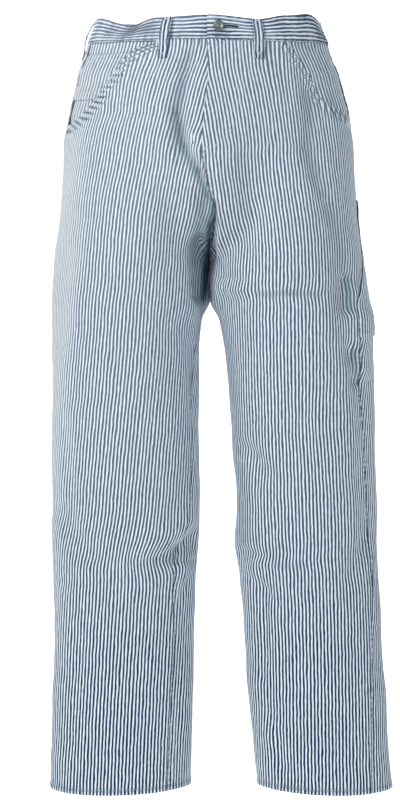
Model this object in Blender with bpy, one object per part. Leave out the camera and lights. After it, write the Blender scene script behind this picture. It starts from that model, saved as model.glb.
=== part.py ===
"""Work trousers in their worn form, standing open and hollow, as the pieces that a maker cuts and sews.

Metres, +Z up. The front faces -Y, and the wearer's right leg is on the -X side. The origin is the centre
of the waist opening, level with the top of the waistband. Tables are in millimetres and degrees.
"""

import math

import bmesh
import bpy
import numpy as np
from mathutils import Matrix, Vector

# Driving dimensions
MM = 0.001
WALL = 1.2 * MM
SEAM_GAP = 0.3 * MM
LAYER_STEP = WALL + SEAM_GAP
FACING_WALL = 1.0 * MM
FACING_COLUMNS = 5
MOUTH_CORNER_SINK = 2.4 * MM
BAND_BOTTOM = -29.5 * MM
BAND_WALL = 2.4 * MM
BAND_PROUD = 0.8 * MM
FLY_BOTTOM = -166.0 * MM
BACK_CURVE_TOP = -95.0 * MM
CROTCH = -313.0 * MM
HEM = -1018.0 * MM
HEM_LIFT_INNER = 10.0 * MM
HEM_LIFT_OUTER = 5.0 * MM
HEM_LIFT_FROM = -880.0 * MM
BACK_CENTRE = 4.0 * MM
HIP_SQUARENESS = 2.15
COLUMNS = 12
LEFT, RIGHT = 1, -1
WORDS = {LEFT: "left", RIGHT: "right"}

# Shares of a half loop, where t runs from 0 at the front seam to 1 at the back seam
SEAM_REACH = 0.22
CENTRE_SHIFT_FROM, CENTRE_SHIFT_TO = 0.3, 0.8
FOLD_FADE = 0.07
# How squarely cloth has to face the front or the back for a fold to start there, and to be full
FOLD_FACING_FROM, FOLD_FACING_FULL = 0.05, 0.5
# How much of a table's own slopes a curve through its rows follows
CURVE_SLOPE = 0.6
# The finest distance that still counts as the same height
LEVEL = 1e-6

# One row for each height of the hips: how far out each side reaches, the depth, the front seam's place,
# and how far round from the front each outseam runs, in degrees
HIP_COLUMNS = ("z", "right", "left", "front", "back", "centre", "right_seam", "left_seam")
HIP_ROWS = (
    (0, -144, 150, -106, 106, 0, 76, 86),
    (-34, -156, 159, -113, 115, 0, 76, 86),
    (-76, -171, 174, -121, 128, 1, 77, 87),
    (-128, -182, 187, -127, 140, -5, 79, 88),
    (-166, -188, 192, -128, 145, -7, 82, 89),
    (-206, -188, 194, -126, 144, 0, 86, 90),
    (-248, -192, 197, -120, 137, 11, 90, 90),
    (-282, -198, 201, -112, 127, 9, 92, 88),
    (-313, -201, 205, -104, 116, 4, 94, 85),
)

# One row for each height of a leg: inner and outer reach, front and back, and where the two seams run
LEG_COLUMNS = ("z", "inner", "outer", "front", "back", "inseam", "outseam")
RIGHT_LEG_ROWS = (
    (-166, -7, -188, -112, 118, 0, 180),
    (-248, 11, -192, -108, 114, 0, 180),
    (-313, 3.8, -201, -101, 106, 0, 182),
    (-345, 3.6, -203, -98, 101, 4, 186),
    (-364, 3.2, -204, -96, 97, 8, 190),
    (-389, -6, -204, -94, 93, 11, 193),
    (-442, -10, -204, -86, 84, 18, 198),
    (-548, -10, -205, -74, 72, 25, 203),
    (-628, -9, -205, -66, 66, 30, 204),
    (-681, -10, -205, -62, 63, 40, 204),
    (-735, -14, -204, -59, 60, 47, 204),
    (-816, -17, -203, -56, 56, 43, 204),
    (-896, -18, -206, -53, 53, 46, 204),
    (-1018, -21, -209, -51, 51, 48, 204),
)
LEFT_LEG_ROWS = (
    (-166, -7, 192, -112, 118, 0, 180),
    (-248, 11, 197, -108, 114, 0, 178),
    (-313, 4.2, 205, -101, 106, 0, 168),
    (-345, 4.6, 210, -98, 101, -3, 155),
    (-364, 5.6, 213, -96, 97, -5, 147),
    (-389, 16, 219, -94, 93, -7, 143),
    (-442, 25, 220, -86, 84, -9, 144),
    (-548, 33, 222, -74, 72, -12, 149),
    (-628, 39, 225, -66, 66, -14, 152),
    (-681, 37, 226, -62, 63, -16, 153),
    (-735, 44, 229, -59, 60, -16, 152),
    (-816, 50, 233, -56, 56, -16, 146),
    (-896, 56, 239, -53, 53, -16, 140),
    (-1018, 67, 247, -51, 51, -16, 133),
)
LEG_ROWS = {LEFT: LEFT_LEG_ROWS, RIGHT: RIGHT_LEG_ROWS}

# The largest folds, seen from the front or the back: two ends in x and z, half width, and depth inwards
FOLD_COLUMNS = ("face", "side", "x0", "z0", "x1", "z1", "width", "depth")
FOLD_ROWS = (
    ("front", RIGHT, -12, -62, -34, -150, 13, 5.0),
    ("front", RIGHT, -34, -150, -10, -222, 15, 9.0),
    ("front", RIGHT, -62, -120, -70, -230, 22, -3.0),
    ("front", LEFT, 24, -172, 22, -240, 16, -5.0),
    ("front", LEFT, 20, -345, 100, -345, 10, -4.0),
    ("front", LEFT, 24, -362, 96, -366, 12, 3.5),
    ("front", LEFT, 134, -92, 146, -198, 14, 4.0),
    ("front", LEFT, 172, -350, 188, -430, 14, 6.0),
    ("front", RIGHT, -12, -680, -60, -703, 12, 7.0),
    ("front", RIGHT, -20, -650, -74, -676, 14, -5.0),
    ("front", RIGHT, -30, -722, -92, -728, 14, -3.0),
    ("front", LEFT, 52, -556, 78, -586, 12, 5.0),
    ("front", LEFT, 48, -700, 104, -694, 12, 5.0),
    ("front", LEFT, 64, -716, 120, -738, 14, -3.0),
    ("front", LEFT, 204, -470, 214, -640, 12, 5.0),
    ("front", LEFT, 216, -660, 190, -720, 13, 5.0),
    ("front", LEFT, 72, -720, 82, -890, 12, 3.0),
    ("front", LEFT, 86, -906, 106, -992, 12, 3.5),
    ("front", RIGHT, -186, -300, -196, -420, 16, 4.0),
    ("front", RIGHT, -190, -640, -150, -700, 14, 4.0),
    ("back", RIGHT, -22, -300, -120, -322, 16, 7.0),
    ("back", RIGHT, -30, -350, -150, -352, 18, 6.0),
    ("back", LEFT, 30, -296, 128, -326, 16, 7.0),
    ("back", LEFT, 40, -346, 152, -362, 18, 6.0),
    ("back", RIGHT, -40, -672, -150, -690, 15, 6.0),
    ("back", RIGHT, -60, -712, -160, -704, 15, 5.0),
    ("back", LEFT, 66, -668, 180, -694, 15, 6.0),
    ("back", LEFT, 80, -716, 176, -706, 15, 5.0),
)

# Pocket mouths, from the waist seam down to the outseam
MOUTH_COLUMNS = ("z", "x")
RIGHT_MOUTH_ROWS = ((-29.5, -64), (-46, -99), (-65, -115), (-96, -138), (-122, -160), (-137, -181))
LEFT_MOUTH_ROWS = ((-29.5, 102), (-56, 120), (-86, 139), (-103, 149), (-114, 168), (-127, 187))
MOUTH_ROWS = {LEFT: LEFT_MOUTH_ROWS, RIGHT: RIGHT_MOUTH_ROWS}

# The waistband's top edge by the angle round the waist: how far it rises, and how far it leans inwards
BAND_EDGE_COLUMNS = ("angle", "rise", "lean")
BAND_EDGE_ROWS = (
    (-180, 0, 0),
    (-90, 0, 0),
    (-72, 1, 0),
    (-43, -9, 9),
    (-24, -1, 2),
    (0, 2, 0),
    (24, -3, 2),
    (40, 2, 0),
    (58, 5, 0),
    (80, -3, 3),
    (110, 0, 0),
    (180, 0, 0),
)

COIN_TOP, COIN_BOTTOM = -45.0 * MM, -103.0 * MM

# Heights where the rows of points change their spacing, and how many rows reach down to each
ROW_STOP_COLUMNS = ("z", "rows")
ROW_STOPS = (
    (-29.8, 0),
    (-45, 1),
    (-103, 4),
    (-115, 2),
    (-127, 4),
    (-137, 3),
    (-166, 2),
    (-290, 6),
    (-313, 2),
    (-345, 2),
    (-389, 2),
    (-640, 7),
    (-740, 5),
    (-1018, 7),
)

RULE_POCKET_TOP, RULE_POCKET_BOTTOM = -232.0 * MM, -409.0 * MM
RULE_POCKET_COLUMNS = 3
UNDERLAP_COLUMNS = 2
BAND_STEP_DEG = 8
BAND_UNDERLAP_DEG = 24
BAND_LAP_GAP = 1.2 * MM
LOOP_WIDTH = 12.5 * MM
LOOP_WALL = 1.6 * MM
LOOP_CORNERS = (-1.0, -0.34, 0.34, 1.0)
BUTTON_X, BUTTON_Z = 14.5 * MM, -13.0 * MM
BUTTON_RADIUS = 7.0 * MM
BUTTON_SHANK_RADIUS = 1.2 * MM
BUTTONHOLE_LENGTH, BUTTONHOLE_HEIGHT = 25.0 * MM, 3.6 * MM

# Each loop's angle round the waist at its top and at its foot
LOOP_COLUMNS = ("name", "angle_top", "angle_foot")
LOOP_ROWS = (
    ("belt_loop_front_right", -18.9, -18.9),
    ("belt_loop_front_left", 23.3, 21.9),
    ("belt_loop_side_right", -90.0, -91.0),
    ("belt_loop_side_left", 114.0, 115.0),
    ("belt_loop_back", 179.0, 179.0),
)

# How far a loop's inner face stands off the cloth, from its top to its foot
LOOP_PROFILE_COLUMNS = ("z", "out")
LOOP_PROFILE_ROWS = (
    (0.5, 1.2),
    (-3.5, 1.4),
    (-8, 3.0),
    (-19, 4.2),
    (-31, 3.2),
    (-39, 1.6),
    (-45, 0.35),
    (-52, 0.35),
)

COLOURS = {
    "stripe_cloth": ((0.36, 0.45, 0.58), 0.85, 0.0),
    "facing_cloth": ((0.40, 0.48, 0.60), 0.85, 0.0),
    "button_metal": ((0.55, 0.56, 0.57), 0.35, 1.0),
}


def column(rows, columns, name):
    """One named column of a table as an array, in the table's order."""
    return np.array([row[columns.index(name)] for row in rows], float)


def smooth_read(rows, columns, name, z):
    """The column's value at height z, on a smooth curve through the table's rows."""
    heights = column(rows, columns, "z")[::-1] * MM
    values = column(rows, columns, name)[::-1]
    slopes = np.gradient(values, heights)
    z = np.clip(z, heights[0], heights[-1])
    low = np.clip(np.searchsorted(heights, z) - 1, 0, len(heights) - 2)
    span = heights[low + 1] - heights[low]
    part = (z - heights[low]) / span
    rise = values[low + 1] - values[low]
    curve = part**2 * (3 - 2 * part) * rise
    bend = part * (1 - part) ** 2 * slopes[low] - part**2 * (1 - part) * slopes[low + 1]
    return values[low] + curve + CURVE_SLOPE * bend * span


def ease(low, high, value):
    part = np.clip((value - low) / (high - low), 0, 1)
    return part**2 * (3 - 2 * part)


def signed_power(value, power):
    return np.sign(value) * np.abs(value) ** power


def curve_share(z, top):
    """How far the rise seam has run from the front or back towards the crotch, on a quarter ellipse."""
    fall = np.clip((top - z) / (top - CROTCH), 0, 1)
    return 1 - np.sqrt(1 - fall**2)


def outseam_angle(side, z):
    return smooth_read(HIP_ROWS, HIP_COLUMNS, WORDS[side] + "_seam", z)


def hip_angle(side, t, z):
    """Degrees round from the front seam: t reaches 0.5 at the outseam."""
    seam = outseam_angle(side, z)
    return np.where(t < 0.5, 2 * t * seam, seam + (2 * t - 1) * (180 - seam))


def hip_point(side, t, z):
    """A half loop of the hips: t is 0 at the front seam, 0.5 at the outseam and 1 at the back seam."""
    outer, front, back, seam = (
        smooth_read(HIP_ROWS, HIP_COLUMNS, name, z) * MM for name in (WORDS[side], "front", "back", "centre")
    )
    centre = seam + (BACK_CENTRE - seam) * ease(CENTRE_SHIFT_FROM, CENTRE_SHIFT_TO, t)
    angle = np.radians(hip_angle(side, t, z))
    power = 2 / HIP_SQUARENESS
    across = signed_power(np.sin(angle), power)
    along = signed_power(np.cos(angle), power)
    y = np.where(along > 0, front, -back) * along
    return centre + (outer - centre) * across, y


def leg_point(side, t, z):
    """A closed loop of a leg: t is 0 and 1 at the inseam and 0.5 at the outseam, going by the front."""
    inner, outer, front, back, inseam, outseam = (
        smooth_read(LEG_ROWS[side], LEG_COLUMNS, name, z) for name in LEG_COLUMNS[1:]
    )
    angle = np.where(
        t < 0.5,
        inseam + (outseam - inseam) * 2 * t,
        outseam + (360 + inseam - outseam) * (2 * t - 1),
    )
    angle = np.radians(angle)
    middle, half_width = (inner + outer) / 2, (outer - inner) / 2
    depth = (back - front) / 2
    y = (front + back) / 2 - depth * np.sin(angle)
    return (middle - half_width * np.cos(angle)) * MM, y * MM


def plain_surface(side, t, z):
    """The cloth's smooth form before its folds, as points with the shape of t and z together."""
    t, z = np.broadcast_arrays(np.asarray(t, float), np.asarray(z, float))
    hip_x, hip_y = hip_point(side, t, z)
    leg_x, leg_y = leg_point(side, t, z)
    seam_share = np.where(t < 0.5, curve_share(z, FLY_BOTTOM), curve_share(z, BACK_CURVE_TOP))
    slow_share = ease(BACK_CURVE_TOP, CROTCH, z)
    near_seam = ease(SEAM_REACH, 0.0, np.minimum(t, 1 - t))
    share = slow_share + (seam_share - slow_share) * near_seam
    share = np.where(z <= CROTCH, 1.0, share)
    x = (1 - share) * hip_x + share * leg_x
    y = (1 - share) * hip_y + share * leg_y
    inner, outer = (smooth_read(LEG_ROWS[side], LEG_COLUMNS, name, z) * MM for name in ("inner", "outer"))
    inward = np.clip((outer - x) / (outer - inner), 0, 1)
    lift = HEM_LIFT_INNER * inward**1.5 + HEM_LIFT_OUTER * (1 - inward) ** 3
    lifted = z + lift * ease(HEM_LIFT_FROM, HEM, z)
    return np.stack([x, y, lifted], -1)


def normals_of(surface, side, t, z):
    """Outward unit normals of a surface function, from small steps along both of its directions."""
    step_t, step_z = 0.002, 0.8 * MM
    along_t = surface(side, t + step_t, z) - surface(side, t - step_t, z)
    along_z = surface(side, t, z + step_z) - surface(side, t, z - step_z)
    normal = np.cross(along_t, along_z) * side
    return normal / np.linalg.norm(normal, axis=-1, keepdims=True)


def wrap(t):
    """Keeps t inside one loop of a leg, whose two ends are the same seam."""
    return np.mod(t, 1.0)


def closed_surface(side, t, z):
    """The smooth form with t let run a little past the seams, for normals there."""
    over = np.where(t < 0, -t, np.where(t > 1, 2 - t, t))
    inside = plain_surface(side, over, z)
    looped = plain_surface(side, wrap(t), z)
    turned = inside.copy()
    seam = smooth_read(HIP_ROWS, HIP_COLUMNS, "centre", z) * MM
    middle = np.where(t < 0.5, seam, BACK_CENTRE)
    turned[..., 0] = 2 * middle - inside[..., 0]
    above = (z > CROTCH) & ((t < 0) | (t > 1))
    return np.where(above[..., None], turned, np.where((z > CROTCH)[..., None], inside, looped))


def fold_depth(side, point, normal, t):
    """How far the folds press the cloth inwards at each point."""
    facing = -normal[..., 1]
    fade = np.where(point[..., 2] > CROTCH, ease(0.0, FOLD_FADE, np.minimum(t, 1 - t)), 1.0)
    total = np.zeros(point.shape[:-1])
    for row in FOLD_ROWS:
        fold = dict(zip(FOLD_COLUMNS, row))
        if fold["side"] != side:
            continue
        weight = ease(FOLD_FACING_FROM, FOLD_FACING_FULL, facing if fold["face"] == "front" else -facing)
        start = np.array([fold["x0"], fold["z0"]]) * MM
        run = np.array([fold["x1"], fold["z1"]]) * MM - start
        away = point[..., [0, 2]] - start
        part = np.clip(away @ run / (run @ run), 0, 1)
        distance = np.linalg.norm(away - part[..., None] * run, axis=-1)
        total += fold["depth"] * MM * weight * np.exp(-((distance / (fold["width"] * MM)) ** 2))
    return total * fade


def surface(side, t, z):
    """The cloth's outer face, folds and all."""
    t, z = np.broadcast_arrays(np.asarray(t, float), np.asarray(z, float))
    point = closed_surface(side, t, z)
    normal = normals_of(closed_surface, side, t, z)
    return point - normal * fold_depth(side, point, normal, np.clip(t, 0, 1))[..., None]


def layer(side, t, z, out):
    """The cloth's points moved out by a distance, or in where it is negative."""
    t, z = np.broadcast_arrays(np.asarray(t, float), np.asarray(z, float))
    return surface(side, t, z) + normals_of(surface, side, t, z) * np.asarray(out)[..., None]


def mouth_end(side):
    """The height where a pocket mouth meets the outseam."""
    return column(MOUTH_ROWS[side], MOUTH_COLUMNS, "z")[-1] * MM


def mouth_t(side, z):
    """The pocket mouth's place round the loop at each height, found by its x in the front view."""
    bottom = mouth_end(side)
    goal = smooth_read(MOUTH_ROWS[side], MOUTH_COLUMNS, "x", z) * MM
    tries = np.linspace(0.05, 0.5, 91)
    found = []
    for height, x in zip(z, goal):
        if height <= bottom + LEVEL:
            found.append(0.5)
            continue
        line = plain_surface(side, tries, np.full(tries.shape, height))[:, 0] * side
        found.append(float(np.interp(x * side, line, tries)))
    return np.array(found)


def gap_as_t(side, t, z, gap):
    """The step in t that makes a gap along the cloth at each height."""
    step = 0.01
    inwards = np.where(t > 0.5, -step, step)
    reach = closed_surface(side, t + inwards, z) - closed_surface(side, t, z)
    return gap * step / np.linalg.norm(reach, axis=-1)


def panel_rows():
    """Heights of the rows of points, closer at the pockets, the crotch and the knee."""
    stops = column(ROW_STOPS, ROW_STOP_COLUMNS, "z")
    counts = column(ROW_STOPS, ROW_STOP_COLUMNS, "rows").astype(int)
    heights = [stops[0]]
    for high, low, count in zip(stops[:-1], stops[1:], counts[1:]):
        heights += list(np.linspace(high, low, count + 1)[1:])
    return np.array(heights) * MM


def front_grid(side):
    """Rows and columns of t and z of a front panel, whose outer edge follows the pocket mouth."""
    z = panel_rows()
    edge = mouth_t(side, z)
    half = SEAM_GAP / 2
    start = gap_as_t(side, np.zeros(len(z)), z, half)
    end = edge - gap_as_t(side, edge, z, half)
    shares = np.linspace(0, 1, COLUMNS + 1)
    return start[:, None] + (end - start)[:, None] * shares, np.repeat(z[:, None], COLUMNS + 1, 1)


def back_grid(side):
    z = panel_rows()
    half = SEAM_GAP / 2
    start = 0.5 + gap_as_t(side, np.full(len(z), 0.5), z, half)
    end = 1 - gap_as_t(side, np.ones(len(z)), z, half)
    shares = np.linspace(0, 1, COLUMNS + 1)
    return start[:, None] + (end - start)[:, None] * shares, np.repeat(z[:, None], COLUMNS + 1, 1)


def make_material(name):
    colour, roughness, metallic = COLOURS[name]
    material = bpy.data.materials.new(name)
    material.use_nodes = True
    shader = material.node_tree.nodes["Principled BSDF"]
    shader.inputs["Base Color"].default_value = (*colour, 1)
    shader.inputs["Roughness"].default_value = roughness
    shader.inputs["Metallic"].default_value = metallic
    return material


def add_object(name, mesh, material, smooth_angle=50.0):
    mesh.shade_smooth()
    mesh.set_sharp_from_angle(angle=math.radians(smooth_angle))
    obj = bpy.data.objects.new(name, mesh)
    obj.data.materials.append(make_material(material))
    bpy.context.scene.collection.objects.link(obj)
    return obj


def wall_mesh(name, outer, inner, turned=0):
    """A closed wall between two grids of points. Both faces, and layers that share their points, split
    their quads alike; the first few columns split the other way, where they follow a mirrored grid."""
    rows, columns = outer.shape[:2]
    points = np.concatenate([outer.reshape(-1, 3), inner.reshape(-1, 3)])
    count = rows * columns
    faces = []
    for i in range(rows - 1):
        for j in range(columns - 1):
            a, b = i * columns + j, i * columns + j + 1
            c, d = b + columns, a + columns
            halves = ((a, b, d), (b, c, d)) if j < turned else ((a, b, c), (a, c, d))
            for corners in halves:
                faces.append(corners)
                faces.append(tuple(corner + count for corner in reversed(corners)))
    rim = [(0, j) for j in range(columns - 1)]
    rim += [(i, columns - 1) for i in range(rows - 1)]
    rim += [(rows - 1, j) for j in range(columns - 1, 0, -1)]
    rim += [(i, 0) for i in range(rows - 1, 0, -1)]
    ids = [i * columns + j for i, j in rim]
    for here, there in zip(ids, ids[1:] + ids[:1]):
        faces.append((there, here, here + count, there + count))
    mesh = bpy.data.meshes.new(name)
    mesh.from_pydata(points.tolist(), [], faces)
    shape = bmesh.new()
    shape.from_mesh(mesh)
    if shape.calc_volume(signed=True) < 0:
        bmesh.ops.reverse_faces(shape, faces=shape.faces)
    shape.to_mesh(mesh)
    shape.free()
    return mesh


def add_layer(name, side, t, z, out, wall, material="stripe_cloth"):
    """A wall of cloth on the surface, its outer face moved out by a distance."""
    out = np.broadcast_to(out, t.shape)
    return add_object(name, wall_mesh(name, layer(side, t, z, out), layer(side, t, z, out - wall)), material)


def build_panels():
    for side in (RIGHT, LEFT):
        add_layer("front_" + WORDS[side], side, *front_grid(side), 0.0, WALL)
        add_layer("back_" + WORDS[side], side, *back_grid(side), 0.0, WALL)


def facing_grid(side):
    """The cloth behind a pocket mouth: two columns under the panel, then on to the outseam. Its last row
    lies under the mouth's lower corner, below the columns of the row above it."""
    t, z = front_grid(side)
    rows = int(np.sum(z[:, 0] >= mouth_end(side) - LEVEL))
    under = t[:rows, -3:]
    seam = 0.5 - gap_as_t(side, np.full(rows, 0.5), z[:rows, 0], SEAM_GAP / 2)
    reach = (seam - under[:, -1])[:, None] * np.linspace(0, 1, FACING_COLUMNS + 1)[1:]
    grid = np.concatenate([under, under[:, -1:] + reach], 1)
    grid[-1] = grid[-2]
    return grid, np.repeat(z[:rows, :1], grid.shape[1], 1)


def build_pocket_facings():
    """The facings meet the waist seam, and the right one sinks below it to carry the coin pocket."""
    for side, sunk in ((RIGHT, FACING_WALL + SEAM_GAP), (LEFT, 0.0)):
        t, z = facing_grid(side)
        out = -LAYER_STEP - sunk * (z <= COIN_TOP + LEVEL)
        from_corner = np.arange(len(z))[::-1, None]
        out -= MOUTH_CORNER_SINK * 0.5**from_corner
        add_layer("pocket_facing_" + WORDS[side], side, t, z, out, FACING_WALL, "facing_cloth")


def build_coin_pocket():
    """A small patch on the right facing that fills it between the front panel's edge and the outseam."""
    t, z = facing_grid(RIGHT)
    inside = (z[:, 0] <= COIN_TOP + LEVEL) & (z[:, 0] >= COIN_BOTTOM - LEVEL)
    t, z = t[inside][:, 1:], z[inside][:, 1:]
    add_layer("coin_pocket", RIGHT, t, z, -LAYER_STEP, FACING_WALL, "facing_cloth")


def build_fly_underlap():
    """The strip behind the closed front, seen only from above and inside."""
    grids = {side: front_grid(side) for side in (RIGHT, LEFT)}
    pieces = []
    for side, count in ((RIGHT, 1), (LEFT, UNDERLAP_COLUMNS)):
        t, z = grids[side]
        rows = z[:, 0] > FLY_BOTTOM + LEVEL
        pieces.append((side, t[rows][:, : count + 1], z[rows][:, : count + 1]))
    faces = []
    for depth in (LAYER_STEP, LAYER_STEP + WALL):
        right, left = (layer(side, t, z, np.full(t.shape, -depth)) for side, t, z in pieces)
        faces.append(np.concatenate([right[:, ::-1], left], 1))
    add_object("fly_underlap", wall_mesh("fly_underlap", *faces, turned=1), "stripe_cloth")


def build_rule_pocket():
    """A narrow side pocket on the left back panel, against the outseam."""
    t, z = back_grid(LEFT)
    rows = (z[:, 0] <= RULE_POCKET_TOP) & (z[:, 0] >= RULE_POCKET_BOTTOM)
    t, z = t[rows][:, : RULE_POCKET_COLUMNS + 1].copy(), z[rows][:, : RULE_POCKET_COLUMNS + 1]
    add_layer("rule_pocket", LEFT, t, z, SEAM_GAP + WALL, WALL)


def band_point(angle_deg, z, out):
    """The waistband's points by the angle round the waist, 0 at the front and rising to the wearer's left."""
    angle = (angle_deg + 180) % 360 - 180
    side = LEFT if angle >= 0 else RIGHT
    heights = np.asarray(z, float)
    seam = outseam_angle(side, heights)
    before = 0.5 * abs(angle) / seam
    t = np.where(before < 0.5, before, 0.5 + 0.5 * (abs(angle) - seam) / (180 - seam))
    normal = normals_of(closed_surface, side, t, heights)
    turns, rises, leans = (column(BAND_EDGE_ROWS, BAND_EDGE_COLUMNS, name) for name in BAND_EDGE_COLUMNS)
    share = np.clip(1 - heights / BAND_BOTTOM, 0, 1)
    lean = np.interp(angle, turns, leans) * MM * share**1.5
    point = plain_surface(side, t, heights) + normal * (out - lean)[..., None]
    point[..., 2] += np.interp(angle, turns, rises) * MM * share
    return point


def build_waistband():
    """One strip whose left end laps over its right end at the front."""
    angles = np.arange(0, 360 + BAND_UNDERLAP_DEG + 1, BAND_STEP_DEG)
    heights = np.linspace(0.0, BAND_BOTTOM, 4)
    outer, inner = [], []
    for angle in angles:
        tuck = (BAND_WALL + BAND_LAP_GAP) * float(ease(328.0, 358.0, angle))
        outer.append(band_point(angle, heights, BAND_PROUD - tuck))
        inner.append(band_point(angle, heights, BAND_PROUD - tuck - BAND_WALL))
    band = add_object("waistband", wall_mesh("waistband", np.array(outer), np.array(inner)), "stripe_cloth")
    cut_buttonhole(band)


def front_place(x, z):
    """A point of the waistband's left front by its x in the front view, and its outward normal."""
    angles = np.linspace(0.5, 60, 120)
    places = np.array([band_point(angle, np.array([z]), BAND_PROUD)[0] for angle in angles])
    angle = float(np.interp(x, places[:, 0], angles))
    point = band_point(angle, np.array([z]), 0.0)[0]
    outward = band_point(angle, np.array([z]), 1.0)[0] - point
    return Vector(point), Vector(outward)


def turned_to(normal, point):
    """A matrix whose Z runs along the normal and whose X runs level round the waist."""
    z_axis = normal.normalized()
    x_axis = Vector((0, 0, 1)).cross(z_axis).normalized()
    y_axis = z_axis.cross(x_axis)
    turn = Matrix((x_axis, y_axis, z_axis)).transposed().to_4x4()
    return Matrix.Translation(point) @ turn


def cut_buttonhole(band):
    middle_x = BUTTON_X + BUTTONHOLE_LENGTH / 2 - 5 * MM
    point, normal = front_place(middle_x, BUTTON_Z)
    cutter_mesh = bpy.data.meshes.new("buttonhole_cutter")
    shape = bmesh.new()
    bmesh.ops.create_cube(shape, size=1.0)
    low, high = BAND_PROUD - BAND_WALL - BAND_LAP_GAP + 0.15 * MM, BAND_PROUD + 1.0 * MM
    size = Matrix.Diagonal((BUTTONHOLE_LENGTH, BUTTONHOLE_HEIGHT, high - low, 1.0))
    lift = Matrix.Translation((0, 0, (low + high) / 2))
    bmesh.ops.transform(shape, matrix=turned_to(normal, point) @ lift @ size, verts=shape.verts)
    shape.to_mesh(cutter_mesh)
    shape.free()
    cutter = bpy.data.objects.new("buttonhole_cutter", cutter_mesh)
    bpy.context.scene.collection.objects.link(cutter)
    cutter.hide_render = True
    cutter.display_type = "WIRE"
    cut = band.modifiers.new("buttonhole", "BOOLEAN")
    cut.operation = "DIFFERENCE"
    cut.object = cutter


def build_button():
    """A metal tack button: a dished cap on a shank that stands on the lower end of the waistband."""
    point, normal = front_place(BUTTON_X, BUTTON_Z)
    foot = BAND_PROUD - BAND_WALL - BAND_LAP_GAP + 0.5 * MM
    under_cap = BAND_PROUD + 0.7 * MM
    profile = (
        (0.0, foot),
        (BUTTON_SHANK_RADIUS, foot),
        (BUTTON_SHANK_RADIUS, under_cap),
        (BUTTON_RADIUS - 0.6 * MM, under_cap),
        (BUTTON_RADIUS, under_cap + 0.8 * MM),
        (BUTTON_RADIUS - 0.7 * MM, under_cap + 1.9 * MM),
        (BUTTON_RADIUS - 1.9 * MM, under_cap + 2.2 * MM),
        (BUTTON_RADIUS - 3.0 * MM, under_cap + 1.5 * MM),
        (1.6 * MM, under_cap + 1.5 * MM),
        (0.0, under_cap + 2.0 * MM),
    )
    shape = bmesh.new()
    ring = [shape.verts.new((radius, 0, height)) for radius, height in profile]
    edges = [shape.edges.new(pair) for pair in zip(ring[:-1], ring[1:])]
    bmesh.ops.spin(shape, geom=ring + edges, cent=(0, 0, 0), axis=(0, 0, 1), angle=math.tau, steps=20)
    bmesh.ops.remove_doubles(shape, verts=shape.verts, dist=0.01 * MM)
    if shape.calc_volume(signed=True) < 0:
        bmesh.ops.reverse_faces(shape, faces=shape.faces)
    bmesh.ops.transform(shape, matrix=turned_to(normal, point), verts=shape.verts)
    mesh = bpy.data.meshes.new("waist_button")
    shape.to_mesh(mesh)
    shape.free()
    add_object("waist_button", mesh, "button_metal", 35.0)


def build_belt_loops():
    """Loops sewn down at the waistband's top and below its seam, standing a little proud between."""
    heights = column(LOOP_PROFILE_ROWS, LOOP_PROFILE_COLUMNS, "z")[::-1] * MM
    proud = column(LOOP_PROFILE_ROWS, LOOP_PROFILE_COLUMNS, "out")[::-1] * MM
    for row in LOOP_ROWS:
        loop = dict(zip(LOOP_COLUMNS, row))
        outer, inner = [], []
        for z, out in zip(heights, proud):
            share = (z - heights[0]) / (heights[-1] - heights[0])
            middle = loop["angle_foot"] + (loop["angle_top"] - loop["angle_foot"]) * share
            half = math.degrees(0.5 * LOOP_WIDTH / loop_radius(middle, z))
            angles = middle + half * np.array(LOOP_CORNERS)
            outer.append([band_point(angle, np.array([z]), out + LOOP_WALL)[0] for angle in angles])
            inner.append([band_point(angle, np.array([z]), out)[0] for angle in angles])
        mesh = wall_mesh(loop["name"], np.array(outer), np.array(inner))
        add_object(loop["name"], mesh, "stripe_cloth")


def loop_radius(angle_deg, z):
    """How far the cloth runs for each radian of the waist angle."""
    step = 0.5
    ahead = band_point(angle_deg + step, np.array([z]), 0.0)[0]
    behind = band_point(angle_deg - step, np.array([z]), 0.0)[0]
    return float(np.linalg.norm(ahead - behind)) / math.radians(2 * step)


def main():
    for obj in list(bpy.data.objects):
        bpy.data.objects.remove(obj, do_unlink=True)
    build_panels()
    build_pocket_facings()
    build_coin_pocket()
    build_fly_underlap()
    build_rule_pocket()
    build_waistband()
    build_belt_loops()
    build_button()


main()
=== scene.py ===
"""The looks of a pair of striped work trousers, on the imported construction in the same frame.

Metres, +Z up; the front faces -Y and the wearer's right leg is on the -X side. Every cloth piece is a
thin shell worked out from the same sections and folds as its solid, with its own UV map in metres, so
that the stripes run with each piece's grain. Tables are in millimetres and degrees.
"""

import math
from collections import namedtuple

import bmesh
import bpy
import numpy as np
from mathutils import Matrix, Vector


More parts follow.
